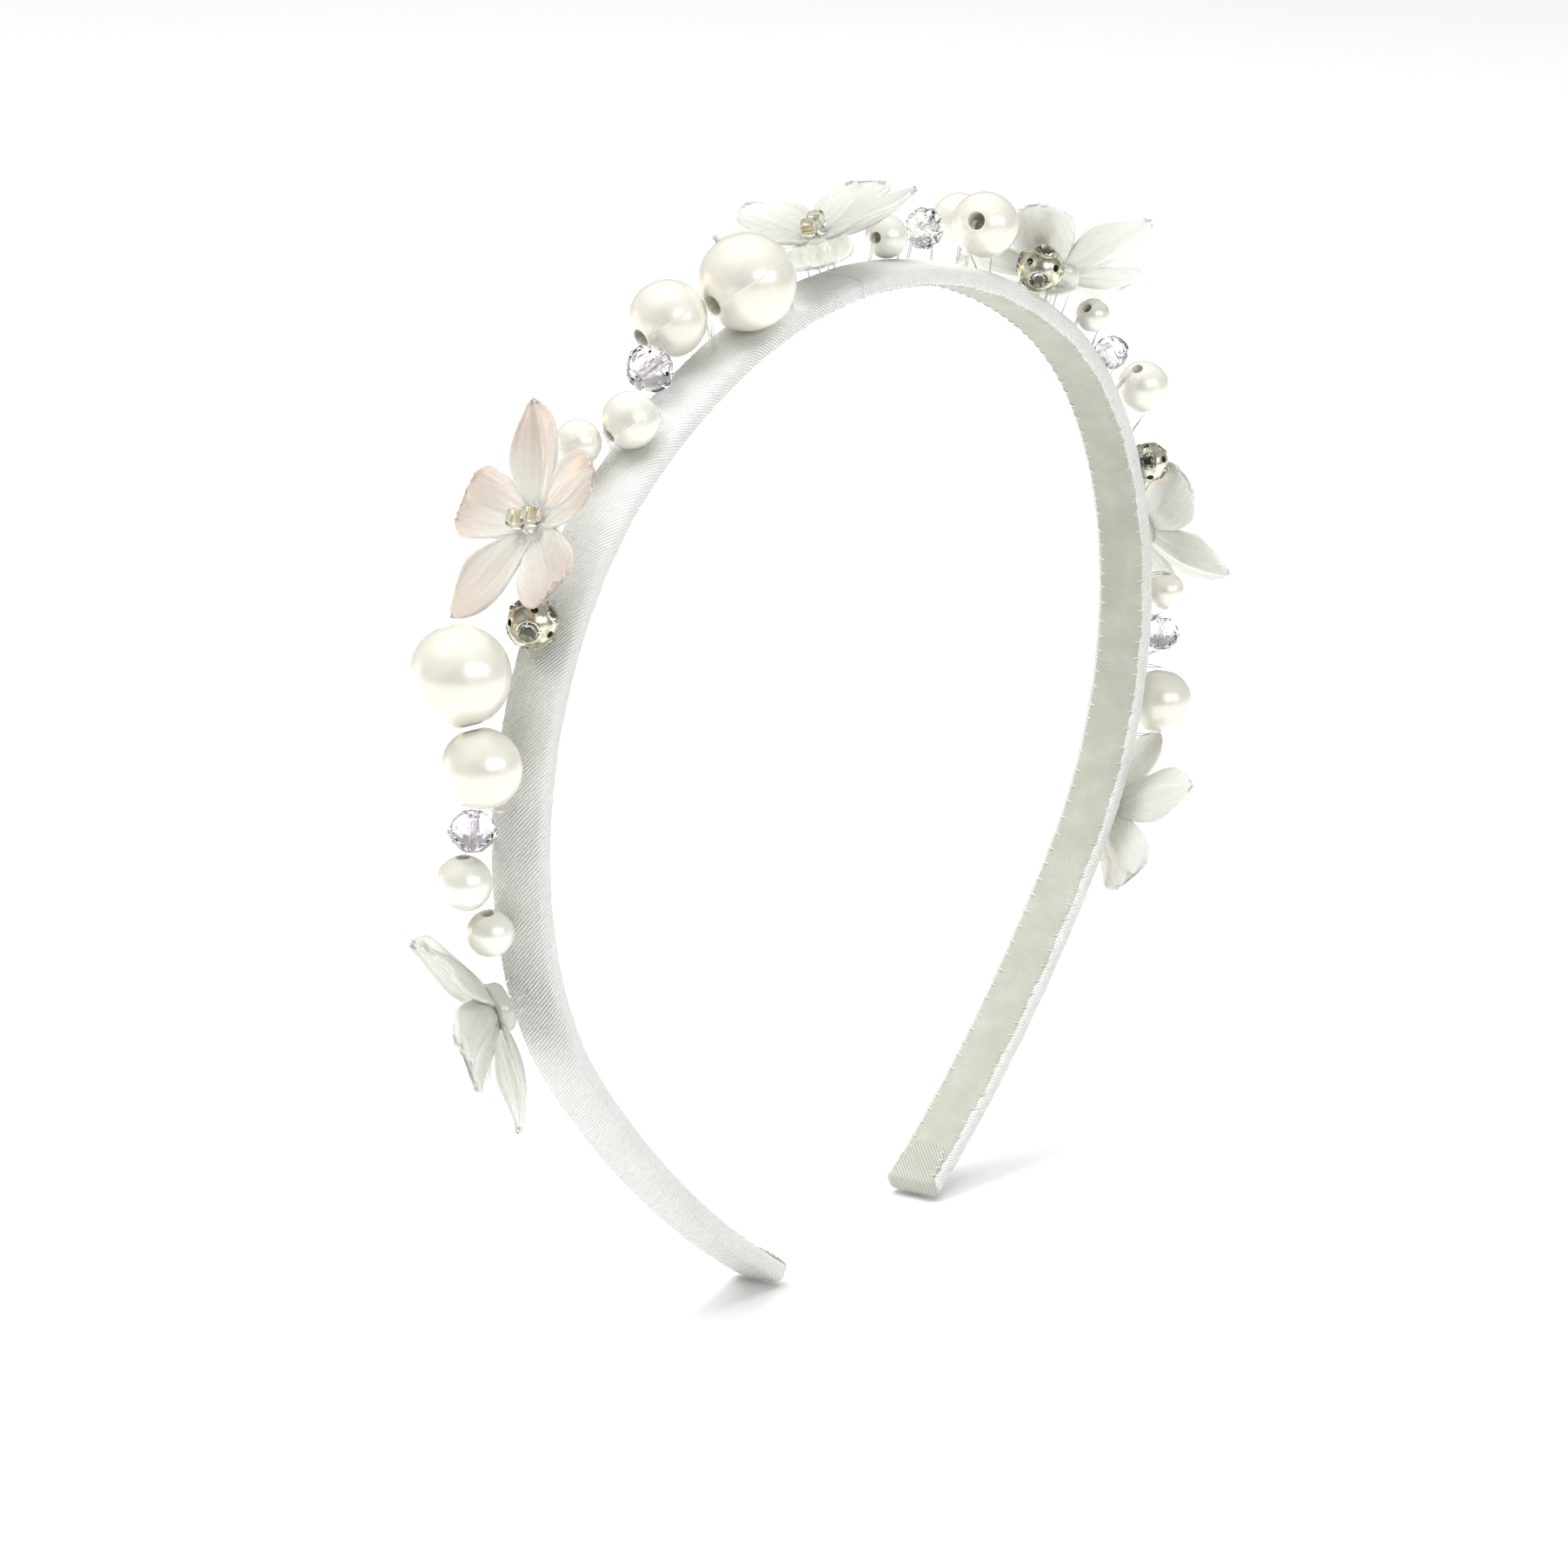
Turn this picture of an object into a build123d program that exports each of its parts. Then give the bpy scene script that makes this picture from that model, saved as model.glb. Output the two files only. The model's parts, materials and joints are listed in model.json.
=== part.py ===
"""Pearl and flower headband: a sprung strip in a satin cover, with strung beads and moulded flowers sewn on.

Millimetres, +Z up, the strip in the XZ plane with its width along Y.
The origin is the middle of the crown's inner face, where the band sits on the head.
A place on the strip is its arc length from the middle of the crown: negative on the left leg.
"""

import os
from itertools import pairwise
from math import cos, radians, sin

from build123d import *

# Strip: its mid-surface is three tangent arcs on each side
CROWN_RADIUS, CROWN_ANGLE = 90.0, 32.0
SHOULDER_RADIUS, SHOULDER_ANGLE = 49.0, 98.0
LEG_RADIUS, LEG_ANGLE = 175.0, 18.0
STRIP_WIDTH = 7.2
STRIP_THICKNESS = 2.4
SATIN_THICKNESS = 0.35
SIDE_WRAP = 0.4
LINING_THICKNESS = 0.3
LINING_WIDTH = 6.0
HEM_GAP = 4.0
END_CAP_LENGTH = 1.1
END_FLAP_LENGTH = 6.0
END_FLAP_THICKNESS = 0.3
SEAM_THREAD = 0.26
SEAM_SEAT = 0.55 * SEAM_THREAD

# Flexing points of the two legs, and the round knuckle that stands for the bend
LEFT_FLEX, RIGHT_FLEX = -43.0, 60.3
KNUCKLE_CLEARANCE = 0.1

# Sewing thread and beads
THREAD = 0.22
THREAD_LIFT = 0.05
THREAD_STANDOFF = 0.32
FOOT_REACH = 6.0
THREAD_CORNER = 0.35
RONDELLE_SIDES = 12
RONDELLE_LENGTH_RATIO = 0.76
RONDELLE_BELT_RATIO = 0.16
RONDELLE_END_RATIO = 0.52
CLUSTER_EDGE = STRIP_WIDTH / 2 - 0.8

# Rhinestone ball: six chatons in a pierced shell
BALL_WALL = 0.6
CHATON_RATIO = 0.42
CHATON_CLEARANCE = 0.03
CHATON_TABLE_RATIO = 0.55
CHATON_CULET_RATIO = 0.45
SEAT_DEPTH_RATIO = 0.24
CHATON_CROWN_RATIO = 0.42
CHATON_PAVILION_RATIO = 0.3
PIERCING = 0.9

# Flower moulding
PETAL_COUNT = 5
PETAL_REACH = 14.2
PETAL_WIDTH = 8.4
PETAL_THICKNESS = 0.8
PETAL_WIDEST_RATIO = 0.6
BLUNT_REACH_RATIO = 0.84
BLUNT_CORNER_RATIO = 0.62
NOTCH_RATIO = 0.94
CUP_RADIUS = PETAL_REACH + 1.0
CUP_RISE = 3.2
CUP_SLOPE_RATIO = 0.3
HUB_RADIUS = 3.0
PETAL_BASE = 0.45 * HUB_RADIUS
BOSS_DEPTH = 1.4
SEED_DIAMETER, SEED_BORE, SEED_LENGTH = 2.4, 0.8, 2.0
SEED_SPREAD = 1.35
SEED_HEIGHT = 2.25
SEED_ROUNDING = 0.35 * SEED_DIAMETER
SEW_HOLE = 0.7
SEW_HOLE_SPREAD = 1.5

ARCS = ((CROWN_RADIUS, CROWN_ANGLE), (SHOULDER_RADIUS, SHOULDER_ANGLE), (LEG_RADIUS, LEG_ANGLE))
CROWN_STOP = CROWN_RADIUS * radians(CROWN_ANGLE)
SHOULDER_STOP = CROWN_STOP + SHOULDER_RADIUS * radians(SHOULDER_ANGLE)
STRIP_END = SHOULDER_STOP + LEG_RADIUS * radians(LEG_ANGLE)
CORE_END = STRIP_END - END_CAP_LENGTH
ARC_STOPS = (-SHOULDER_STOP, -CROWN_STOP, CROWN_STOP, SHOULDER_STOP)

# Layers as offsets from the mid-surface, outward positive
OUTER_FACE = STRIP_THICKNESS / 2
INNER_FACE = -STRIP_THICKNESS / 2
CORE_TOP = OUTER_FACE - SATIN_THICKNESS
HEM_FACE = INNER_FACE + LINING_THICKNESS
CORE_BOTTOM = HEM_FACE + SATIN_THICKNESS
CORE_WIDTH = STRIP_WIDTH - 2 * SIDE_WRAP

SPANS = {"left": (-CORE_END, LEFT_FLEX), "crown": (LEFT_FLEX, RIGHT_FLEX), "right": (RIGHT_FLEX, CORE_END)}
FLEXES = {"left": (LEFT_FLEX,), "crown": (LEFT_FLEX, RIGHT_FLEX), "right": (RIGHT_FLEX,)}

# Beads: name, body, place along the strip, place across it, height of the centre over the mid-surface,
# diameter, bore, and how far the bore leans outward and turns sideways from the strip's direction
PEARLS = (
    ("pearl_01", "left", -107.8, 1.4, 5.0, 5.6, 1.4, 4, 0),
    ("pearl_02", "left", -102.0, 3.5, 6.6, 6.6, 1.5, 0, 0),
    ("pearl_03", "left", -89.8, 1.6, 6.9, 9.6, 2.4, 6.4, 19.6),
    ("pearl_04", "left", -81.1, 5.25, 9.0, 12.0, 2.4, 15.9, 20.2),
    ("pearl_05", "left", -52.3, 4.6, 5.2, 5.6, 1.4, 0, -40),
    ("pearl_06", "left", -47.7, 0.2, 5.0, 6.8, 1.5, 0, -20),
    ("pearl_07", "crown", -32.1, 4.3, 7.1, 9.4, 2.2, 4, -16),
    ("pearl_08", "crown", -22.9, -0.8, 7.6, 11.8, 2.4, 8, -16),
    ("pearl_09", "crown", 10.4, 1.6, 4.4, 5.4, 1.4, 0, 0),
    ("pearl_10", "crown", 33.4, 5.8, 8.0, 7.0, 1.5, 0, 35),
    ("pearl_11", "crown", 28.4, -1.2, 7.2, 8.4, 2.2, 0, 12),
    ("pearl_12", "crown", 55.7, -3.0, 4.4, 4.4, 1.2, 0, 0),
    ("pearl_13", "right", 71.9, -3.2, 6.4, 6.8, 1.5, 0, 0),
    ("pearl_14", "right", 99.3, -3.3, 5.1, 5.0, 1.3, 0, 0),
    ("pearl_15", "right", 112.9, -3.0, 7.0, 8.5, 2.0, 0, 0),
)
CRYSTALS = (
    ("crystal_1", "left", -96.5, 2.8, 5.9, 5.8, 1.0, 0, 0),
    ("crystal_2", "crown", -39.1, 2.8, 5.1, 6.2, 1.0, 0, -14),
    ("crystal_3", "crown", 20.4, 2.5, 5.4, 5.4, 1.0, 0, 0),
    ("crystal_4", "right", 64.7, -1.6, 4.8, 5.0, 1.0, 0, 0),
    ("crystal_5", "right", 104.7, -2.8, 5.3, 5.2, 1.0, 0, 0),
)
RHINESTONE_BALLS = (
    ("rhinestone_ball_1", "left", -73.9, 0.3, 4.6, 6.0, 0.9, 0, 0),
    ("rhinestone_ball_2", "crown", 40.4, -3.0, 4.6, 6.0, 0.9, 0, 0),
    ("rhinestone_ball_3", "right", 81.8, -2.8, 4.0, 5.2, 0.9, 0, 0),
)
# Two pearls that touch share one stitch through both bores, which line up
SHARED_STITCH = {"pearl_03": "pearl_04"}
# Flowers: name, body, place along, place across, height of the hub, tilt along, tilt across, spin
FLOWERS = (
    ("flower_1", "left", -117.0, 2.2, 5.2, 0.0, 0.60, 72),
    ("flower_2", "left", -64.0, 2.6, 7.2, -0.19, 0.39, 5),
    ("flower_3", "crown", -3.4, 2.6, 5.6, -0.16, 0.15, 285),
    ("flower_4", "crown", 48.0, -0.9, 5.8, 0.10, 0.43, 265),
    ("flower_5", "right", 92.2, 2.0, 7.1, -0.26, -0.42, 306),
    ("flower_6", "right", 126.9, 0.7, 5.2, 0.14, -0.58, 247),
)
# Petal shapes round a flower: 1 has a point, 0 has a notched blunt end
PETAL_POINTED = (1, 0, 1, 0, 1)


def band_plane(place, across=0.0, height=0.0):
    """Plane at a place on the strip: x along the strip, y across it, z outward."""
    x = z = turn = 0.0
    left = abs(place)
    for radius, angle in ARCS:
        step = min(left / radius, radians(angle))
        x += radius * (sin(turn + step) - sin(turn))
        z -= radius * (cos(turn) - cos(turn + step))
        turn += step
        left -= step * radius
    side = -1 if place < 0 else 1
    outward = Vector(side * sin(turn), 0, cos(turn))
    along = Vector(cos(turn), 0, -side * sin(turn))
    origin = Vector(side * x, across, z - INNER_FACE) + outward * height
    return Plane(origin=origin, x_dir=along, z_dir=outward)


def band_point(place, height):
    """Point of the strip's side view, in the coordinates of a sketch on the XZ plane."""
    origin = band_plane(place, 0, height).origin
    return (origin.X, origin.Z)


def stretch_outline(start, end, low, high):
    """Closed outline of the strip's side view between two places and two heights."""
    stops = [start, *(stop for stop in ARC_STOPS if start < stop < end), end]
    with BuildLine() as outline:
        for first, last in pairwise(stops):
            for height in (low, high):
                ThreePointArc(*(band_point(s, height) for s in (first, (first + last) / 2, last)))
        for place in (start, end):
            Line(band_point(place, low), band_point(place, high))
    return outline.edges()


def layer_profile(body, low, high):
    """Side view of one layer of one body, with its half of the knuckle at each flexing point."""
    start, end = SPANS[body]
    flex_points = [band_point(place, 0) for place in FLEXES[body]]
    with BuildSketch(Plane.XZ) as profile:
        if body == "crown":
            with Locations(*flex_points):
                Circle(OUTER_FACE)
            reach = STRIP_THICKNESS
            make_face(stretch_outline(start - reach, end + reach, low, high), mode=Mode.INTERSECT)
            make_face(stretch_outline(start, end, low, high))
        else:
            make_face(stretch_outline(start, end, low, high))
            with Locations(*flex_points):
                Circle(OUTER_FACE + KNUCKLE_CLEARANCE, mode=Mode.SUBTRACT)
    return profile.sketch


def save(builder, name):
    """Label a finished piece and write it."""
    builder.part.label = name
    export_step(builder.part, f"parts/{name}.step")


def make_core(body):
    """Sprung plastic strip inside the cover."""
    with BuildPart() as core:
        extrude(layer_profile(body, CORE_BOTTOM, CORE_TOP), amount=CORE_WIDTH / 2, both=True)
    save(core, f"core_{body}")


def make_satin(body):
    """Satin cover: over the outer face, round both edges and hemmed under."""
    with BuildPart() as satin:
        extrude(layer_profile(body, HEM_FACE, OUTER_FACE), amount=STRIP_WIDTH / 2, both=True)
        cuts = ((CORE_BOTTOM, CORE_TOP, CORE_WIDTH), (HEM_FACE, CORE_BOTTOM, HEM_GAP))
        for low, high, width in cuts:
            extrude(layer_profile(body, low, high), amount=width / 2, both=True, mode=Mode.SUBTRACT)
    save(satin, f"satin_cover_{body}")


def make_lining(body):
    """Lining ribbon over the hems, filling the gap between them."""
    with BuildPart() as lining:
        extrude(layer_profile(body, INNER_FACE, HEM_FACE), amount=LINING_WIDTH / 2, both=True)
        extrude(layer_profile(body, HEM_FACE, CORE_BOTTOM), amount=HEM_GAP / 2, both=True)
    save(lining, f"lining_{body}")


def make_seam_thread(body):
    """Thread of the two hand-sewn seams, in the corner between each hem and the lining's edge."""
    start, end = SPANS[body]
    margin = OUTER_FACE + 4 * KNUCKLE_CLEARANCE
    start += margin if start in FLEXES[body] else 0
    end -= margin if end in FLEXES[body] else 0
    height = HEM_FACE - SEAM_SEAT
    across = LINING_WIDTH / 2 + SEAM_SEAT
    stops = [start, *(stop for stop in ARC_STOPS if start < stop < end), end]
    with BuildPart() as seam:
        for side in (-across, across):
            with BuildLine() as path:
                for first, last in pairwise(stops):
                    middle = (first + last) / 2
                    ThreePointArc(*(band_plane(s, side, height).origin for s in (first, middle, last)))
            first_plane = band_plane(start, side, height)
            with BuildSketch(Plane(first_plane.origin, z_dir=first_plane.x_dir)):
                Circle(SEAM_THREAD / 2)
            sweep(path=path.wire())
    save(seam, f"seam_thread_{body}")


def make_end_fold(side, name):
    """Satin tucked over the end of the strip: a cap, and a flap turned under on the inner face."""
    cap = sorted((side * CORE_END, side * STRIP_END))
    flap = sorted((side * (CORE_END - END_FLAP_LENGTH), side * STRIP_END))
    with BuildPart() as fold:
        with BuildSketch(Plane.XZ):
            make_face(stretch_outline(*cap, INNER_FACE, OUTER_FACE))
        extrude(amount=STRIP_WIDTH / 2, both=True)
        with BuildSketch(Plane.XZ):
            make_face(stretch_outline(*flap, INNER_FACE - END_FLAP_THICKNESS, INNER_FACE))
        extrude(amount=LINING_WIDTH / 2, both=True)
    save(fold, name)


def bead_plane(place, across, height, lean, turn):
    """Plane at a bead's centre with its z axis along the bore."""
    band = band_plane(place, across, height)
    tilt, swing = radians(lean), radians(turn)
    flat = band.x_dir * cos(swing) + band.y_dir * sin(swing)
    bore = flat * cos(tilt) + band.z_dir * sin(tilt)
    side = bore.cross(band.z_dir)
    return Plane(origin=band.origin, x_dir=side, z_dir=bore)


def make_pearl(name, place, across, height, diameter, bore, lean, turn):
    """Moulded pearl with a through bore."""
    with BuildPart(bead_plane(place, across, height, lean, turn)) as pearl:
        Sphere(diameter / 2)
        Cylinder(bore / 2, 2 * diameter, mode=Mode.SUBTRACT)
    save(pearl, name)


def make_crystal(name, place, across, height, diameter, bore, lean, turn):
    """Faceted glass rondelle with a through bore."""
    length = diameter * RONDELLE_LENGTH_RATIO
    belt = RONDELLE_BELT_RATIO * length
    plane = bead_plane(place, across, height, lean, turn)
    half_levels = ((belt / 2, diameter / 2), (length / 2, RONDELLE_END_RATIO * diameter / 2))
    levels = [(-level, radius) for level, radius in reversed(half_levels)] + list(half_levels)
    with BuildPart() as crystal:
        for facets in pairwise(levels):
            for level, radius in facets:
                with BuildSketch(plane.offset(level)):
                    RegularPolygon(radius, RONDELLE_SIDES)
            loft(ruled=True)
        with Locations(plane):
            Cylinder(bore / 2, 2 * length, mode=Mode.SUBTRACT)
    save(crystal, name)


def chaton_planes(plane):
    """Six planes square to each other, none along the bore: z points out of each seat."""
    third = (1 / 3) ** 0.5
    spread = (2 / 3) ** 0.5
    seats = []
    for index in range(3):
        swing = radians(120 * index)
        flat = plane.x_dir * cos(swing) + plane.y_dir * sin(swing)
        outward = flat * spread + plane.z_dir * third
        seats += [outward, outward * -1]
    return [Plane(origin=plane.origin, z_dir=outward) for outward in seats]


def piercing_planes(plane):
    """Axes of the three holes between the seats, apart from the bore."""
    outward = [seat.z_dir for seat in chaton_planes(plane)[::2]]
    total = outward[0] + outward[1] + outward[2]
    return [Plane(origin=plane.origin, z_dir=total - axis * 2) for axis in outward]


def make_rhinestone_ball(name, place, across, height, diameter, bore, lean, turn):
    """Pierced plated shell, and the six chatons set in it."""
    plane = bead_plane(place, across, height, lean, turn)
    stone = diameter * CHATON_RATIO
    seat_depth = diameter * SEAT_DEPTH_RATIO
    with BuildPart() as shell:
        with Locations(plane):
            Sphere(diameter / 2)
            Sphere(diameter / 2 - BALL_WALL, mode=Mode.SUBTRACT)
            Cylinder(bore / 2, 2 * diameter, mode=Mode.SUBTRACT)
        with Locations(*piercing_planes(plane)):
            Cylinder(PIERCING / 2, 2 * diameter, mode=Mode.SUBTRACT)
        with Locations(*(seat.offset(diameter / 2) for seat in chaton_planes(plane))):
            Cylinder(stone / 2, 2 * seat_depth, mode=Mode.SUBTRACT)
    save(shell, f"{name}_shell")
    girdle = stone / 2 - CHATON_CLEARANCE
    crown_height = CHATON_CROWN_RATIO * seat_depth
    pavilion_depth = CHATON_PAVILION_RATIO * seat_depth
    above = (Align.CENTER, Align.CENTER, Align.MIN)
    below = (Align.CENTER, Align.CENTER, Align.MAX)
    with BuildPart() as chatons:
        for seat in chaton_planes(plane):
            with Locations(seat.offset(diameter / 2 - crown_height)):
                Cone(girdle, CHATON_TABLE_RATIO * girdle, crown_height, align=above)
                Cone(CHATON_CULET_RATIO * girdle, girdle, pavilion_depth, align=below)
    save(chatons, f"{name}_chatons")


def flower_plane(place, across, height, tilt_along, tilt_across, spin):
    """Plane at a flower's hub: z out of the face, x through its first petal."""
    band = band_plane(place, across, height)
    face = (band.z_dir + band.x_dir * tilt_along + band.y_dir * tilt_across).normalized()
    level = (band.x_dir - face * band.x_dir.dot(face)).normalized()
    swing = radians(spin)
    petal = level * cos(swing) + face.cross(level) * sin(swing)
    return Plane(origin=band.origin, x_dir=petal, z_dir=face)


def petal_outline(pointed):
    """Plan of one petal along x: arcs to a point, or to a blunt end with a shallow notch."""
    half = PETAL_WIDTH / 2
    tip = PETAL_REACH if pointed else PETAL_REACH * BLUNT_REACH_RATIO
    corner = 0.0 if pointed else half * BLUNT_CORNER_RATIO
    with BuildLine() as outline:
        for side in (-1, 1):
            widest = (tip * PETAL_WIDEST_RATIO, side * half)
            ThreePointArc((0, side * PETAL_BASE), widest, (tip, side * corner))
            if not pointed:
                Line((tip, side * corner), (tip * NOTCH_RATIO, 0))
        Line((0, -PETAL_BASE), (0, PETAL_BASE))
    return outline.edges()


def make_flower(name, *pose):
    """Moulded flower: five petals cut from one shallow cup, on a hub with four sewing holes."""
    hub = flower_plane(*pose)
    side_view = Plane(origin=hub.origin, x_dir=hub.x_dir, z_dir=hub.y_dir * -1)
    with BuildPart() as flower:
        with BuildSketch(hub.offset(-BOSS_DEPTH)):
            Circle(HUB_RADIUS)
            for index, pointed in enumerate(PETAL_POINTED):
                with PolarLocations(0, 1, start_angle=index * 360 / PETAL_COUNT):
                    with BuildSketch(mode=Mode.PRIVATE) as petal:
                        make_face(petal_outline(pointed))
                    add(petal.sketch)
        extrude(amount=BOSS_DEPTH + 2 * CUP_RISE)
        with BuildSketch(side_view):
            with BuildLine():
                for rise in (0.0, PETAL_THICKNESS):
                    halfway = (CUP_RADIUS / 2, CUP_RISE * CUP_SLOPE_RATIO + rise)
                    ThreePointArc((0, rise), halfway, (CUP_RADIUS, CUP_RISE + rise))
                Line((0, 0), (0, PETAL_THICKNESS))
                Line((CUP_RADIUS, CUP_RISE), (CUP_RADIUS, CUP_RISE + PETAL_THICKNESS))
            make_face()
        revolve(axis=Axis(hub.origin, hub.z_dir), mode=Mode.INTERSECT)
        with Locations(hub.offset(PETAL_THICKNESS / 2)):
            Cylinder(HUB_RADIUS, BOSS_DEPTH, align=(Align.CENTER, Align.CENTER, Align.MAX))
        with Locations(hub):
            with GridLocations(2 * SEW_HOLE_SPREAD, 2 * SEED_SPREAD, 2, 2):
                Cylinder(SEW_HOLE / 2, 4 * (BOSS_DEPTH + PETAL_THICKNESS), mode=Mode.SUBTRACT)
    save(flower, name)


def make_seeds(name, *pose):
    """Pair of glass seed beads lying side by side on a flower's hub."""
    hub = flower_plane(*pose)
    with BuildPart() as seeds:
        lying = [
            Plane(hub.offset(SEED_HEIGHT).origin + hub.y_dir * side, x_dir=hub.y_dir, z_dir=hub.x_dir)
            for side in (-SEED_SPREAD, SEED_SPREAD)
        ]
        with Locations(*lying):
            Cylinder(SEED_DIAMETER / 2, SEED_LENGTH)
        fillet(seeds.edges().filter_by(GeomType.CIRCLE), radius=SEED_ROUNDING)
        with Locations(*lying):
            Cylinder(SEED_BORE / 2, 2 * SEED_LENGTH, mode=Mode.SUBTRACT)
    save(seeds, name)


def foot_on_band(point, place):
    """Where a thread straight down from a point meets the satin."""
    band = band_plane(place)
    for _ in range(6):
        place += (point - band.origin).dot(band.x_dir)
        band = band_plane(place)
    across = max(-CLUSTER_EDGE, min(CLUSTER_EDGE, point.Y))
    return band_plane(place, across, OUTER_FACE + THREAD_LIFT).origin


def clear_foot(point, centre, place):
    """Foot of a thread from a bead's end, moved along the strip until the thread clears the bead."""
    inward = (centre - point).normalized()
    step = 0.2 if (centre - point).dot(band_plane(place).x_dir) < 0 else -0.2
    foot = foot_on_band(point, place)
    moved = 0.0
    while (foot - point).dot(inward) > 0 and abs(moved) < FOOT_REACH:
        moved += step
        foot = foot_on_band(point + band_plane(place).x_dir * moved, place)
    return foot


def bead_end(bead, side):
    """Point just outside one mouth of a bead's bore, and the foot of the thread from there."""
    name, _, place, across, height, diameter, _, lean, turn = bead
    plane = bead_plane(place, across, height, lean, turn)
    length = diameter * (RONDELLE_LENGTH_RATIO if name.startswith("crystal") else 1)
    end = plane.origin + plane.z_dir * side * (length / 2 + THREAD_STANDOFF)
    return end, clear_foot(end, plane.origin, place)


def stitch(*route):
    """Thread along a route of straight runs with eased corners."""
    with BuildLine() as path:
        FilletPolyline(*route, radius=THREAD_CORNER)
    with BuildSketch(Plane(route[0], z_dir=route[1] - route[0])) as section:
        Circle(THREAD / 2)
    return sweep(section.sketch, path=path.wire(), mode=Mode.PRIVATE)


def make_threads(body):
    """All the stitches that hold the beads and flowers of one body."""
    with BuildPart() as threads:
        beads = {bead[0]: bead for bead in (*PEARLS, *CRYSTALS, *RHINESTONE_BALLS) if bead[1] == body}
        for name in beads:
            if name in SHARED_STITCH.values():
                continue
            low, low_foot = bead_end(beads[name], -1)
            high, high_foot = bead_end(beads[SHARED_STITCH.get(name, name)], 1)
            add(stitch(low_foot, low, high, high_foot))
        for name, owner, place, *pose in FLOWERS:
            if owner != body:
                continue
            hub = flower_plane(place, *pose)
            back = hub.z_dir * -(SEED_HEIGHT + BOSS_DEPTH)
            for side in (-SEED_SPREAD, SEED_SPREAD):
                centre = hub.offset(SEED_HEIGHT).origin + hub.y_dir * side
                ends = [centre + hub.x_dir * reach for reach in (-SEW_HOLE_SPREAD, SEW_HOLE_SPREAD)]
                feet = [foot_on_band(end + back, place) for end in ends]
                add(stitch(feet[0], ends[0] + back, *ends, ends[1] + back, feet[1]))
    save(threads, f"bead_threads_{body}")


os.makedirs("parts", exist_ok=True)

for body in SPANS:
    make_core(body)
    make_satin(body)
    make_lining(body)
    make_seam_thread(body)
    make_threads(body)

make_end_fold(-1, "end_fold_left")
make_end_fold(1, "end_fold_right")

for name, _, *pose in PEARLS:
    make_pearl(name, *pose)
for name, _, *pose in CRYSTALS:
    make_crystal(name, *pose)
for name, _, *pose in RHINESTONE_BALLS:
    make_rhinestone_ball(name, *pose)
for name, _, *pose in FLOWERS:
    make_flower(name, *pose)
    make_seeds(name.replace("flower", "seed_beads"), *pose)
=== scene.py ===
import json
import math

import bpy
import numpy as np
from mathutils import Matrix, Vector

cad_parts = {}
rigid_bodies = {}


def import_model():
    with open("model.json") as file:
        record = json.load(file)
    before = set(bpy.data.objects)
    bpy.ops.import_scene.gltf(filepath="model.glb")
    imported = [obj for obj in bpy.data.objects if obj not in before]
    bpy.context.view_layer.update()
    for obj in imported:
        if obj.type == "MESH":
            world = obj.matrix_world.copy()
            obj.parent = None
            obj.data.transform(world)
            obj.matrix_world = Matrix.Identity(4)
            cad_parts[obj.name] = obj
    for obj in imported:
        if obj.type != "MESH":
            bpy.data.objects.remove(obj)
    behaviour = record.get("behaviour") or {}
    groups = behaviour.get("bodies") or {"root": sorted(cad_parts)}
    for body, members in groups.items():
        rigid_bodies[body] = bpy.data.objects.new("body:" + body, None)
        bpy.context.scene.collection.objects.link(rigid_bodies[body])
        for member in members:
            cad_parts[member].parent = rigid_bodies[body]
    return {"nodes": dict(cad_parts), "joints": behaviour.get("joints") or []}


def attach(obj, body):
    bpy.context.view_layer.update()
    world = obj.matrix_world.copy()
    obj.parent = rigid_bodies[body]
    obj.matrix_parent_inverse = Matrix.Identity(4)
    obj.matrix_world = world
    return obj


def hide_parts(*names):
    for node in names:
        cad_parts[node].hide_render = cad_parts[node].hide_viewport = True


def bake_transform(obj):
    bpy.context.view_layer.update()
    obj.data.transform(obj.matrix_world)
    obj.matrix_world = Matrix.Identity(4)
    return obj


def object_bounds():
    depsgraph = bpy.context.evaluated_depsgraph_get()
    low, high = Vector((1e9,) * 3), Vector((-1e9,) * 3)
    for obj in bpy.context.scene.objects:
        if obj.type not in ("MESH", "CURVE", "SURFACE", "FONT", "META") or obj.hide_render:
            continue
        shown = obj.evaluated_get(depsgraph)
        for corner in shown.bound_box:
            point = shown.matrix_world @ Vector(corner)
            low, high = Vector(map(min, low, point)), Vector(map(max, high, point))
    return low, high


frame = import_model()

CAD_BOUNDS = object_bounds()
MM = 0.001
JOINTS = {joint["name"]: joint for joint in frame["joints"]}
random = np.random.default_rng(7)

# Strip, as in the CAD: three tangent arcs on each side of the crown, in millimetres and degrees
ARCS = ((90.0, 32.0), (49.0, 98.0), (175.0, 18.0))
STRIP_HALF_LENGTH = sum(radius * math.radians(angle) for radius, angle in ARCS)
INNER_FACE, OUTER_FACE = -1.2, 1.2
COVER_SPLIT = -3.0
LEFT_FLEX, RIGHT_FLEX = -43.0, 60.3
FLEX_ZONE = 5.0

# Flowers: body, place along the strip, across it and over it in mm, tilts along and across, spin, and the
# tint that paints its light
FLOWERS = {
    "flower_1": ("left_leg", -117.0, 2.2, 5.2, 0.0, 0.60, 72, "silver"),
    "flower_2": ("left_leg", -64.0, 2.6, 7.2, -0.19, 0.39, 5, "pink"),
    "flower_3": ("crown", -3.4, 2.6, 5.6, -0.16, 0.15, 285, "silver"),
    "flower_4": ("crown", 48.0, -0.9, 5.8, 0.10, 0.43, 265, "pale"),
    "flower_5": ("right_leg", 92.2, 2.0, 7.1, -0.26, -0.42, 306, "pale"),
    "flower_6": ("right_leg", 126.9, 0.7, 5.2, 0.14, -0.58, 247, "pale"),
}
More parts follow.
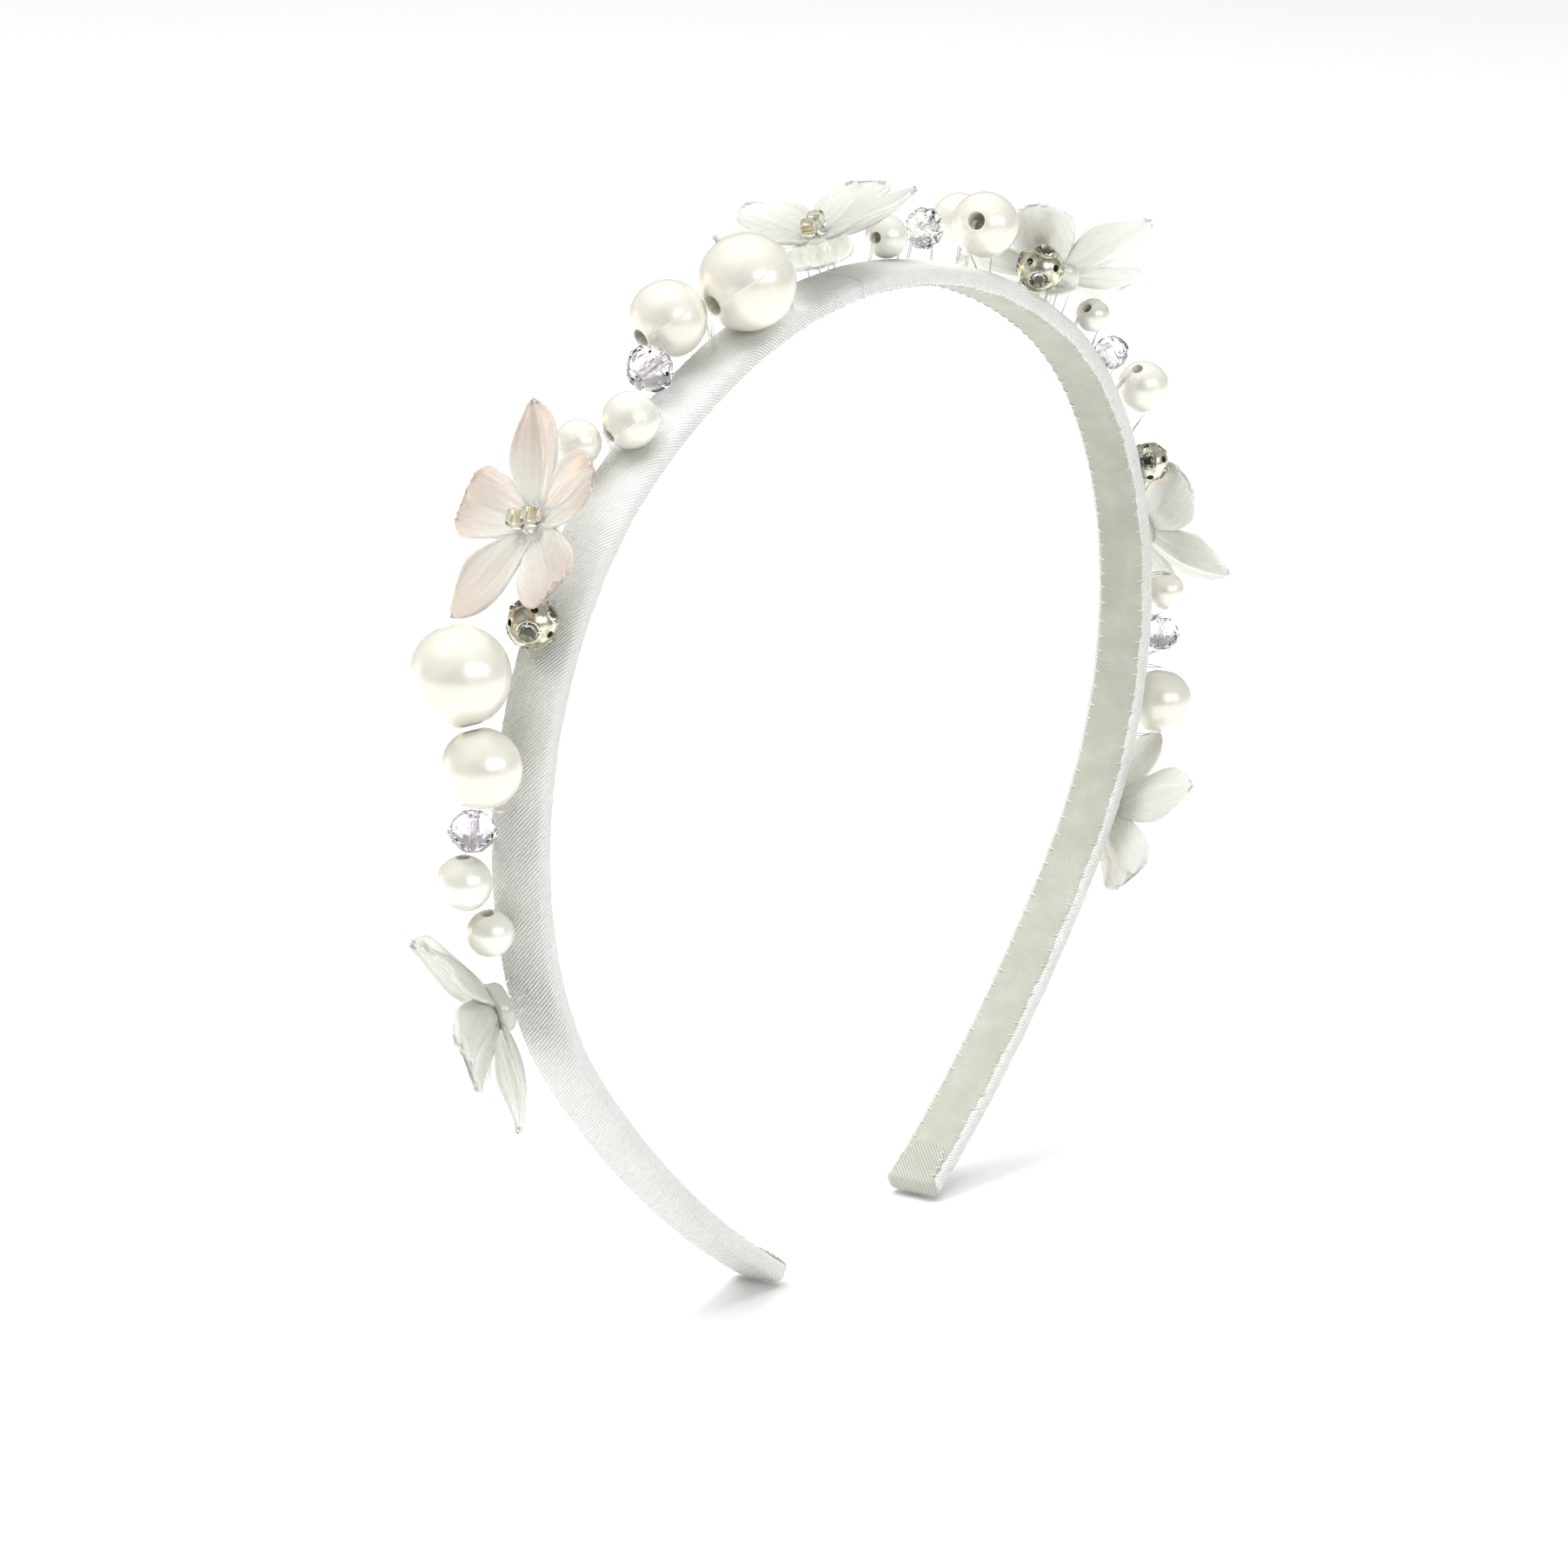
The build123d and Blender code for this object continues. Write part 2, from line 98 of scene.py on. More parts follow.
# Pearls: diameter and bore in mm, the diameters of crystals and balls, and pearls that share a stitch
PEARLS = {
    "pearl_01": (5.6, 1.4), "pearl_02": (6.6, 1.5), "pearl_03": (9.6, 2.4), "pearl_04": (12.0, 2.4),
    "pearl_05": (5.6, 1.4), "pearl_06": (6.8, 1.5), "pearl_07": (9.4, 2.2), "pearl_08": (11.8, 2.4),
    "pearl_09": (5.4, 1.4), "pearl_10": (7.0, 1.5), "pearl_11": (8.4, 2.2), "pearl_12": (4.4, 1.2),
    "pearl_13": (6.8, 1.5), "pearl_14": (5.0, 1.3), "pearl_15": (8.5, 2.0),
}
CRYSTALS = {"crystal_1": 5.8, "crystal_2": 6.2, "crystal_3": 5.4, "crystal_4": 5.0, "crystal_5": 5.2}
BALLS = {"rhinestone_ball_1": 6.0, "rhinestone_ball_2": 6.0, "rhinestone_ball_3": 5.2}
SHARED_STITCH = {"pearl_03": "pearl_04"}
# Space kept round a ball for its settings to turn in, and how far beyond it the push fades out
BALL_CLEARANCE, BALL_FADE = 0.32, 1.4
# Clear thread: radius through beads and through flowers, round of its bends, and reach past a bore
THREAD_RADIUS, SEWING_RADIUS = 0.06, 0.07
THREAD_CORNER, SEWING_CORNER = 0.4, 0.35
THREAD_STANDOFF = 0.25
RONDELLE_LENGTH_RATIO = 0.76
SEED_SPREAD, SEED_HEIGHT = 1.35, 2.25
SEED_REACH, BOSS_DEPTH = 1.5, 1.4


# ---- strip frame

def strip_frame(place):
    """Point on the strip's mid-surface in mm, and unit vectors along the strip and outward."""
    x = z = turn = 0.0
    left = abs(place)
    for index, (radius, angle) in enumerate(ARCS):
        limit = math.radians(angle) if index < len(ARCS) - 1 else math.inf
        step = min(left / radius, limit)
        x += radius * (math.sin(turn + step) - math.sin(turn))
        z -= radius * (math.cos(turn) - math.cos(turn + step))
        turn += step
        left -= step * radius
    side = -1.0 if place < 0 else 1.0
    centre = np.array([side * x, 0.0, z - INNER_FACE])
    along = np.array([math.cos(turn), 0.0, -side * math.sin(turn)])
    outward = np.array([side * math.sin(turn), 0.0, math.cos(turn)])
    return centre, along, outward


def strip_point(place, across, height):
    """Point in mm at a place along the strip, a distance across it and a height over its mid-surface."""
    centre, _, outward = strip_frame(place)
    return centre + outward * height + np.array([0.0, across, 0.0])


def unit(vector):
    return np.asarray(vector, float) / np.linalg.norm(vector)


def angles(count, offset=0.0):
    """Even angles round a circle, turned by a share of one step."""
    return 2 * math.pi * (np.arange(count) + offset) / count


def stations(start, stop, sign):
    """Places along the strip for the rings of a mesh."""
    return [*np.arange(start, stop, sign * STATION_STEP), stop]


def compass(side, other, angle):
    """Direction at an angle from side towards other."""
    return side * math.cos(angle) + other * math.sin(angle)


def eased(value, power):
    """A value's size to a power, with its sign kept; a power below 1 squares off a round section."""
    return math.copysign(abs(value) ** power, value)


# ---- meshes

def make_mesh(name, points, faces, smooth=True, coords=None):
    """Mesh object from points in mm. coords is a per-point vector kept as the attribute that shaders read."""
    mesh = bpy.data.meshes.new(name)
    mesh.from_pydata([tuple(p) for p in np.asarray(points, float) * MM], [], [tuple(f) for f in faces])
    mesh.validate()
    if smooth:
        mesh.shade_smooth()
    if coords is not None:
        layer = mesh.attributes.new("surface", "FLOAT_VECTOR", "POINT")
        layer.data.foreach_set("vector", np.asarray(coords, np.float32).ravel())
    mesh.update()
    thing = bpy.data.objects.new(name, mesh)
    bpy.context.scene.collection.objects.link(thing)
    return thing


class Pile:
    """Collects separate closed shapes into one mesh."""

    def __init__(self):
        self.points, self.faces, self.coords, self.slots = [], [], [], []

    def add(self, points, faces, coords=None, slot=0):
        base = sum(len(p) for p in self.points)
        self.points.append(np.asarray(points, float))
        self.coords.append(np.asarray(points if coords is None else coords, float))
        self.faces += [[base + i for i in face] for face in faces]
        self.slots += [slot] * len(faces)

    def build(self, name, materials, smooth=True):
        thing = make_mesh(name, np.vstack(self.points), self.faces, smooth, np.vstack(self.coords))
        for item in materials:
            thing.data.materials.append(item)
        thing.data.polygons.foreach_set("material_index", self.slots)
        return thing


def grid_faces(rings, ring_size, flip=False):
    """Quads between consecutive rings of points."""
    faces = []
    for i in range(rings - 1):
        for j in range(ring_size):
            k = (j + 1) % ring_size
            face = [i * ring_size + j, i * ring_size + k, (i + 1) * ring_size + k, (i + 1) * ring_size + j]
            faces.append(face[::-1] if flip else face)
    return faces


def looped_faces(rings, ring_size):
    """Quads between rings, and from the last ring back to the first."""
    return grid_faces(rings, ring_size) + closing_faces(rings, ring_size)


def closing_faces(rings, ring_size):
    last = (rings - 1) * ring_size
    return [[last + j, last + (j + 1) % ring_size, (j + 1) % ring_size, j] for j in range(ring_size)]


def pair(row, k, count):
    """Numbers of the k-th point of a ring and the next one."""
    return row * count + k, row * count + (k + 1) % count


def capped(rings, ring_size, flip=False):
    """Faces of a closed tube of rings, with both ends filled."""
    faces = grid_faces(rings, ring_size, flip)
    first = list(range(ring_size))
    last = [(rings - 1) * ring_size + j for j in range(ring_size)]
    faces += [first if flip else first[::-1], last[::-1] if flip else last]
    return faces


def tube(path, radius, sides=8, taper=None):
    """Points and faces of a closed round tube along a list of points in mm."""
    path = np.asarray(path, float)
    tangents = np.gradient(path, axis=0)
    side = np.cross(tangents[0], [0.31, 0.87, 0.38])
    points = []
    for index, (centre, tangent) in enumerate(zip(path, tangents)):
        tangent = unit(tangent)
        side = unit(side - tangent * side.dot(tangent))
        other = np.cross(tangent, side)
        size = radius * (1.0 if taper is None else taper[index])
        points += [centre + size * compass(side, other, angle) for angle in angles(sides)]
    return np.array(points), capped(len(path), sides)


def smooth_path(corners, steps=10):
    """Catmull-Rom curve through corner points."""
    corners = [np.asarray(c, float) for c in corners]
    padded = [2 * corners[0] - corners[1], *corners, 2 * corners[-1] - corners[-2]]
    path = []
    for a, b, c, d in zip(padded, padded[1:], padded[2:], padded[3:]):
        for t in np.linspace(0, 1, steps, endpoint=False):
            path.append(0.5 * (2 * b + (c - a) * t + (2 * a - 5 * b + 4 * c - d) * t**2
                               + (3 * b - a - 3 * c + d) * t**3))
    path.append(corners[-1])
    return np.array(path)


def rounded_path(corners, radius, steps=5):
    """Straight runs joined by small round bends."""
    corners = [np.asarray(c, float) for c in corners]
    path = [corners[0]]
    for before, corner, after in zip(corners, corners[1:], corners[2:]):
        cut = min(radius, 0.45 * np.linalg.norm(corner - before), 0.45 * np.linalg.norm(after - corner))
        start = corner + unit(before - corner) * cut
        stop = corner + unit(after - corner) * cut
        for t in np.linspace(0, 1, steps):
            path.append((1 - t) ** 2 * start + 2 * t * (1 - t) * corner + t**2 * stop)
    path.append(corners[-1])
    return np.array(path)


def profile_value(places, values, t):
    """Smooth curve through a short table of values."""
    points = smooth_path(np.column_stack([places, values]), 12)
    return np.interp(t, points[:, 0], points[:, 1])


def stand_in(piece, body, node):
    """A rigid piece that rides a body and replaces a CAD node."""
    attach(piece, body)
    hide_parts(node)


def basis_object(thing, centre, axis, side_hint=(0.0, 1.0, 0.0)):
    """Moves a mesh made around its own origin, with its axis on z, to a centre in metres."""
    z = Vector(axis).normalized()
    x = Vector(side_hint) - z * z.dot(Vector(side_hint))
    x.normalize()
    y = z.cross(x)
    matrix = Matrix((x, y, z)).transposed().to_4x4()
    matrix.translation = Vector(centre)
    thing.matrix_world = matrix
    return thing


# ---- materials

class Shader:
    """A node material built around one principled shader."""

    def __init__(self, name, **values):
        self.material = bpy.data.materials.new(name)
        self.material.use_nodes = True
        self.nodes = self.material.node_tree.nodes
        self.links = self.material.node_tree.links
        self.bsdf = self.nodes["Principled BSDF"]
        for socket, value in values.items():
            self.bsdf.inputs[socket.replace("_", " ")].default_value = value

    def node(self, kind, inputs=None, **settings):
        made = self.nodes.new(kind)
        for key, value in settings.items():
            setattr(made, key, value)
        for key, value in (inputs or {}).items():
            socket = made.inputs[key]
            if isinstance(value, bpy.types.NodeSocket):
                self.links.new(value, socket)
            else:
                socket.default_value = value
        return made

    def math(self, operation, first, second=0.0):
        return self.node("ShaderNodeMath", {0: first, 1: second}, operation=operation).outputs[0]

    def coords(self, attribute=None, scale=(1.0, 1.0, 1.0), rotation=(0.0, 0.0, 0.0)):
        """Object coordinates in metres, or a mesh attribute, scaled and turned."""
        if attribute is None:
            source = self.node("ShaderNodeTexCoord").outputs["Object"]
        else:
            source = self.node("ShaderNodeAttribute", attribute_name=attribute).outputs["Vector"]
        inputs = {"Vector": source, "Scale": scale, "Rotation": rotation}
        return self.node("ShaderNodeMapping", inputs).outputs[0]

    def noise(self, vector, scale, detail=3.0, roughness=0.55):
        return self.node("ShaderNodeTexNoise", {"Vector": vector, "Scale": scale, "Detail": detail,
                                                "Roughness": roughness}).outputs["Fac"]

    def bands(self, vector, scale, distortion, direction="X", more=None):
        inputs = {"Vector": vector, "Scale": scale, "Distortion": distortion, **(more or {})}
        waves = self.node("ShaderNodeTexWave", inputs, wave_type="BANDS", bands_direction=direction)
        return waves.outputs["Fac"]

    def mix(self, first, first_share, second, second_share):
        """Weighted sum of two patterns."""
        first = self.math("MULTIPLY", first, first_share)
        return self.math("ADD", first, self.math("MULTIPLY", second, second_share))

    def ramp(self, factor, *stops):
        """Colour ramp; each stop is a position and a colour."""
        made = self.node("ShaderNodeValToRGB", {"Fac": factor})
        ramp = made.color_ramp
        while len(ramp.elements) < len(stops):
            ramp.elements.new(0.5)
        for element, (position, colour) in zip(ramp.elements, stops):
            element.position = position
            element.color = (*colour, 1.0)
        return made.outputs["Color"]

    def span(self, factor, low, high):
        """Maps 0..1 to low..high."""
        return self.node("ShaderNodeMapRange", {"Value": factor, "To Min": low, "To Max": high}).outputs[0]

    def bump(self, height, distance, strength=1.0, normal=None):
        inputs = {"Height": height, "Distance": distance, "Strength": strength}
        if normal is not None:
            inputs["Normal"] = normal
        return self.node("ShaderNodeBump", inputs).outputs[0]

    def feed(self, socket, value):
        self.links.new(value, self.bsdf.inputs[socket])

    def tint(self, factor, *stops):
        self.feed("Base Color", self.ramp(factor, *stops))

    def relief(self, pattern, distance, strength, under=None):
        """Surface bump from a pattern, over another bump if there is one."""
        self.feed("Normal", self.bump(pattern, distance, strength, under))


# Diagonal ribs of the satin: degrees from square across the strip, and the wave texture's scale
TWILL_ANGLE, TWILL_SCALE = -48, 0.85


def satin_material(name, dark, middle, light):
    """Satin with a fine diagonal twill; the surface attribute runs along the strip and round it in mm."""
    shader = Shader(name, Roughness=0.4, Sheen_Weight=0.4, Sheen_Roughness=0.35)
    strip = shader.coords("surface")
    diagonal = shader.coords("surface", rotation=(0, 0, math.radians(TWILL_ANGLE)))
    ribs = shader.bands(diagonal, TWILL_SCALE, 0.5, more={"Detail": 1.0, "Detail Scale": 0.5})
    cloud = shader.noise(strip, 0.16, 4.0)
    slub = shader.noise(shader.coords("surface", scale=(0.25, 3.0, 1.0)), 1.1, 2.0)
    tone = shader.mix(ribs, 0.6, cloud, 0.4)
    shader.tint(tone, (0.15, dark), (0.45, middle), (0.85, light))
    shader.feed("Roughness", shader.span(slub, 0.32, 0.5))
    fine = shader.bump(ribs, 0.00014, 0.9)
    folds = shader.noise(shader.coords("surface", scale=(1.0, 0.35, 1.0)), 0.5, 2.0)
    shader.relief(folds, 0.0004, 0.35, fine)
    return shader.material


# The lining ribbon is a real layer, but its sage-grey tones paint the shade of the satin on the band's inner
# face.
def lining_shade_material():
    shader = Shader("lining", Roughness=0.9, Sheen_Weight=0.15, Sheen_Roughness=0.5)
    strip = shader.coords("surface")
    ribs = shader.bands(strip, 1.25, 0.8)
    cloud = shader.noise(strip, 0.22, 5.0)
    grain = shader.noise(strip, 6.0, 2.0)
    tone = shader.mix(cloud, 0.7, grain, 0.3)
    shader.tint(tone, (0.3, (0.42, 0.45, 0.375)), (0.5, (0.475, 0.5, 0.43)), (0.72, (0.56, 0.58, 0.515)))
    weave = shader.bump(ribs, 0.00005, 0.6)
    shader.relief(grain, 0.00008, 0.6, weave)
    return shader.material


def mottled_material(name, scale, detail, low, high, grain=None, **values):
    """Two tones in clouds. low and high are ramp stops; grain is the scale, height and strength of a bump."""
    shader = Shader(name, **values)
    shader.tint(shader.noise(shader.coords(), scale, detail), low, high)
    if grain is not None:
        fineness, height, strength = grain
        shader.relief(shader.noise(shader.coords(), fineness, 2.0), height, strength)
    return shader.material


def glass_material(name, colour, deep, ior=1.54, roughness=0.015):
    return mottled_material(name, 260.0, 2.0, (0.35, deep), (0.65, colour), (900.0, 0.00001, 0.25),
                            Roughness=roughness, IOR=ior, Transmission_Weight=1.0)


def stitch_material():
    shader = Shader("stitch_thread", Roughness=0.6, Sheen_Weight=0.2, Subsurface_Weight=0.1,
                    Subsurface_Scale=0.0004)
    twist = shader.bands(shader.coords("surface", rotation=(0.5, 0.3, 0.7)), 2.4, 0.6, "DIAGONAL")
    shader.tint(twist, (0.0, (0.72, 0.73, 0.68)), (1.0, (0.92, 0.92, 0.88)))
    shader.relief(twist, 0.00005, 0.8)
    return shader.material


def pearl_material(name, warm, cool):
    """Lacquered bead: nacre with a metallic glow under a clear coat, and a warm bloom at its edge."""
    shader = Shader(name, Metallic=0.3, Coat_Weight=1.0, Coat_Roughness=0.15, Coat_IOR=1.55, IOR=1.55,
                    Subsurface_Weight=0.15, Subsurface_Scale=0.0010, Subsurface_Radius=(1.0, 0.8, 0.6),
                    Sheen_Weight=0.12, Sheen_Roughness=0.3, Sheen_Tint=(1.0, 0.86, 0.78, 1.0))
    place = shader.coords()
    cloud = shader.noise(place, 160.0, 4.0)
    orient = shader.noise(shader.coords(scale=(1.0, 1.0, 2.6)), 420.0, 3.0)
    middle = tuple((a + b) / 2 for a, b in zip(warm, cool))
    shader.tint(shader.mix(cloud, 0.7, orient, 0.3), (0.3, warm), (0.5, middle), (0.7, cool))
    shader.feed("Roughness", shader.span(orient, 0.24, 0.4))
    shader.relief(shader.noise(place, 1500.0, 2.0), 0.000012, 0.5)
    return shader.material


def silver_material():
    shader = Shader("silver_plate", Metallic=1.0, Roughness=0.18)
    place = shader.coords()
    cloud = shader.noise(place, 900.0, 4.0)
    shader.tint(cloud, (0.35, (0.36, 0.34, 0.2)), (0.5, (0.72, 0.7, 0.56)), (0.65, (0.9, 0.89, 0.82)))
    shader.feed("Roughness", shader.span(shader.noise(place, 1600.0, 3.0), 0.1, 0.34))
    shader.relief(shader.noise(place, 1100.0, 3.0), 0.00006, 0.5)
    return shader.material


def petal_material(name, inner, outer, vein, grain):
    """Pearlescent moulding: one tone near the hub, another towards the tips, and painted shade darkening its
    grooves.
    """
    shader = Shader(name, Roughness=0.28, Coat_Weight=0.8, Coat_Roughness=0.12, IOR=1.5, Metallic=0.12,
                    Subsurface_Weight=0.3, Subsurface_Scale=0.0012, Subsurface_Radius=(1.0, 0.85, 0.7),
                    Sheen_Weight=0.2, Sheen_Roughness=0.25)
    surface = shader.node("ShaderNodeAttribute", attribute_name="surface").outputs["Vector"]
    parts = shader.node("ShaderNodeSeparateXYZ", {"Vector": surface})
    cloud = shader.noise(shader.coords(), 190.0, 4.0)
    streak = shader.noise(shader.coords("surface", scale=(0.1, 0.9, 0.0)), 1.4, 3.0)
    reach = shader.node("ShaderNodeMapRange", {"Value": parts.outputs["X"], "From Min": 3.0,
                                               "From Max": 12.5})
    blend = shader.mix(reach.outputs[0], 0.75, cloud, 0.35)
    middle = tuple(0.5 * (a + b) for a, b in zip(inner, outer))
    ground = shader.ramp(blend, (0.12, inner), (0.5, middle), (0.85, outer))
    # Painted shade: the groove depth in the surface attribute's z mixes the base colour towards the vein
    # colour.
    dark = shader.math("MULTIPLY", parts.outputs["Z"], 0.4)
    mixed = shader.node("ShaderNodeMix", {"Factor": dark, 6: ground, 7: (*vein, 1.0)}, data_type="RGBA")
    shader.feed("Base Color", mixed.outputs[2])
    shader.feed("Roughness", shader.span(streak, 0.18, 0.36))
    fine = shader.bump(streak, grain, 0.5)
    shader.relief(shader.noise(shader.coords(), 800.0, 2.0), 0.00003, 0.4, fine)
    return shader.material


SATIN = satin_material("satin", (0.68, 0.7, 0.66), (0.86, 0.875, 0.85), (0.95, 0.95, 0.935))
# Darker copy of the satin for the turned ends: painted shade, the sage-grey of satin in shade.
SHADED_SATIN = satin_material("shaded_satin", (0.4, 0.43, 0.365), (0.52, 0.545, 0.48), (0.66, 0.675, 0.625))
LINING_SHADE = lining_shade_material()
STITCH = stitch_material()
FILAMENT = mottled_material("filament", 900.0, 2.0, (0.3, (0.93, 0.94, 0.91)), (0.7, (0.99, 0.99, 0.97)),
                            Roughness=0.1, IOR=1.2, Transmission_Weight=0.85)
PEARL_LARGE = pearl_material("pearl_large", (0.83, 0.8, 0.7), (0.89, 0.885, 0.81))
PEARL_SMALL = pearl_material("pearl_small", (0.85, 0.83, 0.74), (0.9, 0.9, 0.84))
BORE = mottled_material("bore_wall", 500.0, 3.0, (0.3, (0.68, 0.66, 0.56)), (0.7, (0.84, 0.825, 0.73)),
                        Roughness=0.5, Subsurface_Weight=0.2, Subsurface_Scale=0.0008)
CRYSTAL = glass_material("lilac_crystal", (0.94, 0.92, 0.95), (0.77, 0.73, 0.81))
CLEAR_CRYSTAL = glass_material("clear_crystal", (0.99, 0.99, 0.98), (0.94, 0.95, 0.94), 1.45, 0.08)
STONE = glass_material("rhinestone_glass", (0.97, 0.97, 0.96), (0.86, 0.86, 0.82), 1.7)
SEED = glass_material("seed_glass", (0.97, 0.95, 0.86), (0.86, 0.82, 0.66), 1.5)
SILVER = silver_material()
# Dark sphere inside each ball so its piercings look dark: painted shade.
INSIDE_SHADE = mottled_material("ball_inside", 700.0, 3.0, (0.3, (0.03, 0.035, 0.012)), (0.7, (0.1, 0.1, 0.045)),
                           Metallic=0.6, Roughness=0.55)
CORE = mottled_material("core_plastic", 120.0, 3.0, (0.3, (0.82, 0.82, 0.79)), (0.7, (0.9, 0.9, 0.87)),
                        (1400.0, 0.00003, 0.4), Roughness=0.45)
FLOOR = mottled_material("studio_floor", 3.0, 2.0, (0.3, (0.87, 0.87, 0.87)), (0.7, (0.89, 0.89, 0.89)),
                         Roughness=0.8, Emission_Color=(1.0, 1.0, 1.0, 1.0), Emission_Strength=0.05)
# One pearlescent moulding in three tints that paint its light: a pink reflection, a grey shade and pale lit
# tones. Each lists hub tone, tip tone, the groove colour that paints shade, and the streak bump.
PETALS = {
    tint: petal_material(f"petal_{tint}", *tones)
    for tint, tones in {
        "pink": ((0.74, 0.745, 0.7), (0.62, 0.545, 0.485), (0.5, 0.46, 0.4), 0.0001),
        "silver": ((0.56, 0.575, 0.52), (0.7, 0.71, 0.67), (0.34, 0.36, 0.29), 0.00014),
        "pale": ((0.68, 0.695, 0.64), (0.76, 0.765, 0.73), (0.54, 0.56, 0.49), 0.00003),
    }.items()
}


# ---- beads' places

def bead_pose(name):
    """Centre in metres, bore direction, own body and the body it is sewn to."""
    joint = JOINTS[f"{name}_spin"]
    return joint["pos_m"], joint["axis"], joint["child"], joint["parent"]


def clear_of_balls(points):
    """Points in mm moved out of the space each ball turns in, less and less up to BALL_FADE beyond it."""
    points = np.array(points, dtype=float)
    for name, diameter in BALLS.items():
        centre = np.asarray(bead_pose(name)[0]) / MM
        reach = diameter / 2 + BALL_CLEARANCE
        away = points - centre
        gaps = np.linalg.norm(away, axis=1)
        if gaps.min() < reach:
            moved = np.interp(gaps, (gaps.min(), reach + BALL_FADE), (reach, reach + BALL_FADE))
            moved = np.where(gaps < reach + BALL_FADE, moved, gaps)
            points = centre + away * (moved / gaps)[:, None]
    return points


# ---- satin cover, lining and stitches

# Satin round the strip, in mm from the middle of the section: puffed a little past the plastic inside
COVER_HALF_WIDTH, COVER_TOP, COVER_BOTTOM = 3.72, 1.34, -1.16
COVER_CROWN = 0.26
TOP_ROUNDING, BOTTOM_ROUNDING = 0.95, 0.8
HEM_EDGE = 1.9
SATIN_THICKNESS = 0.25
STATION_STEP = 0.5
CAP_REACH = 1.0
RIBBON_FRONT_EDGE, RIBBON_BACK_EDGE = -3.3, 2.95
RIBBON_HEIGHT, RIBBON_HALF_THICKNESS = -1.24, 0.16
# The ribbon's front edge is widened and turned up round the cover's lower corner, carrying its painted shade
# there.
RIBBON_WRAP = 0.3
STITCH_PITCH = 2.3
FRONT_STITCH, BACK_STITCH = 0.07, 0.115
END_STITCH = 0.08


def cover_outline():
    """Outer line of the satin's section from one hem edge, round the outer face, to the other."""
    half = [(HEM_EDGE, COVER_BOTTOM + 0.16), (2.7, COVER_BOTTOM + 0.03)]
    for centre_height, radius, swing in (
        (COVER_BOTTOM + BOTTOM_ROUNDING, BOTTOM_ROUNDING, np.linspace(-80, 0, 6)),
        (COVER_TOP - TOP_ROUNDING, TOP_ROUNDING, np.linspace(0, 72, 9)),
    ):
        for angle in np.radians(swing):
            across = COVER_HALF_WIDTH - radius + radius * math.cos(angle)
            half.append((across, centre_height + radius * math.sin(angle)))
    edge = half[-1][0]
    for across in np.linspace(2.4, 0.4, 6):
        half.append((across, COVER_TOP + COVER_CROWN * (1 - (across / edge) ** 2)))
    return [(-across, height) for across, height in half] + half[::-1]


def inset(outline, amount):
    """The same open line moved towards its inside."""
    line = np.array(outline)
    tangent = np.gradient(line, axis=0)
    tangent /= np.linalg.norm(tangent, axis=1)[:, None]
    return line + amount * np.column_stack([tangent[:, 1], -tangent[:, 0]])


def pucker(place, across):
    """Small gathers along the satin's rolled edges, in mm."""
    edge = min(1.0, abs(across) / COVER_HALF_WIDTH)
    side = 1.7 if across < 0 else 0.0
    gathers = math.sin(2.9 * place + side) * math.sin(0.53 * place + 2 * side)
    return 0.07 * gathers * edge**4 + 0.03 * math.sin(0.63 * place + 2.0 * across)


def cover_half(name, start, stop, sign):
    """Satin of one side, from the crown's middle to the turned end: one thin sheet, wrapped and hemmed."""
    places = stations(start, stop, sign)
    outer = cover_outline()
    inner = inset(outer, SATIN_THICKNESS)[::-1]
    steps = np.linalg.norm(np.diff(np.array(outer), axis=0), axis=1)
    arcs = np.concatenate([[0.0], np.cumsum(steps)])
    section = [*outer, *inner]
    spans = [*arcs, *arcs[::-1]]
    points, coords = [], []
    for place in places:
        for (across, height), arc in zip(section, spans):
            waver = 1 + 0.006 * math.sin(0.9 * place)
            points.append(strip_point(place, across * waver, height + pucker(place, across)))
            coords.append((place, arc, 0.0))
    faces = capped(len(places), len(section), flip=sign < 0)
    thing = make_mesh(name, clear_of_balls(points), faces, True, coords)
    thing.data.materials.append(SATIN)
    return thing, float(arcs[-1])


def ribbon_half(name, start, stop, sign):
    """Lining ribbon of one side, over the hems."""
    places = stations(start, stop, sign)
    count = 36
    points, coords = [], []
    for place in places:
        pull = math.sin(2 * math.pi * place / STITCH_PITCH)
        for angle in angles(count):
            c, s = math.cos(angle), math.sin(angle)
            share = eased(c, 0.35)
            across = RIBBON_BACK_EDGE * share if share > 0 else -RIBBON_FRONT_EDGE * share
            edge = share**4
            height = RIBBON_HEIGHT + RIBBON_HALF_THICKNESS * eased(s, 0.6) + 0.02 * pull * edge
            # Front edge turned up round the cover's corner, with the ribbon's painted shade.
            height += RIBBON_WRAP * (share < 0) * edge**2
            points.append(strip_point(place, across * (1 + 0.012 * pull * edge), height))
            coords.append((place, across, 0.0))
    thing = make_mesh(name, points, capped(len(places), count, flip=sign > 0), True, coords)
    thing.data.materials.append(LINING_SHADE)
    return thing


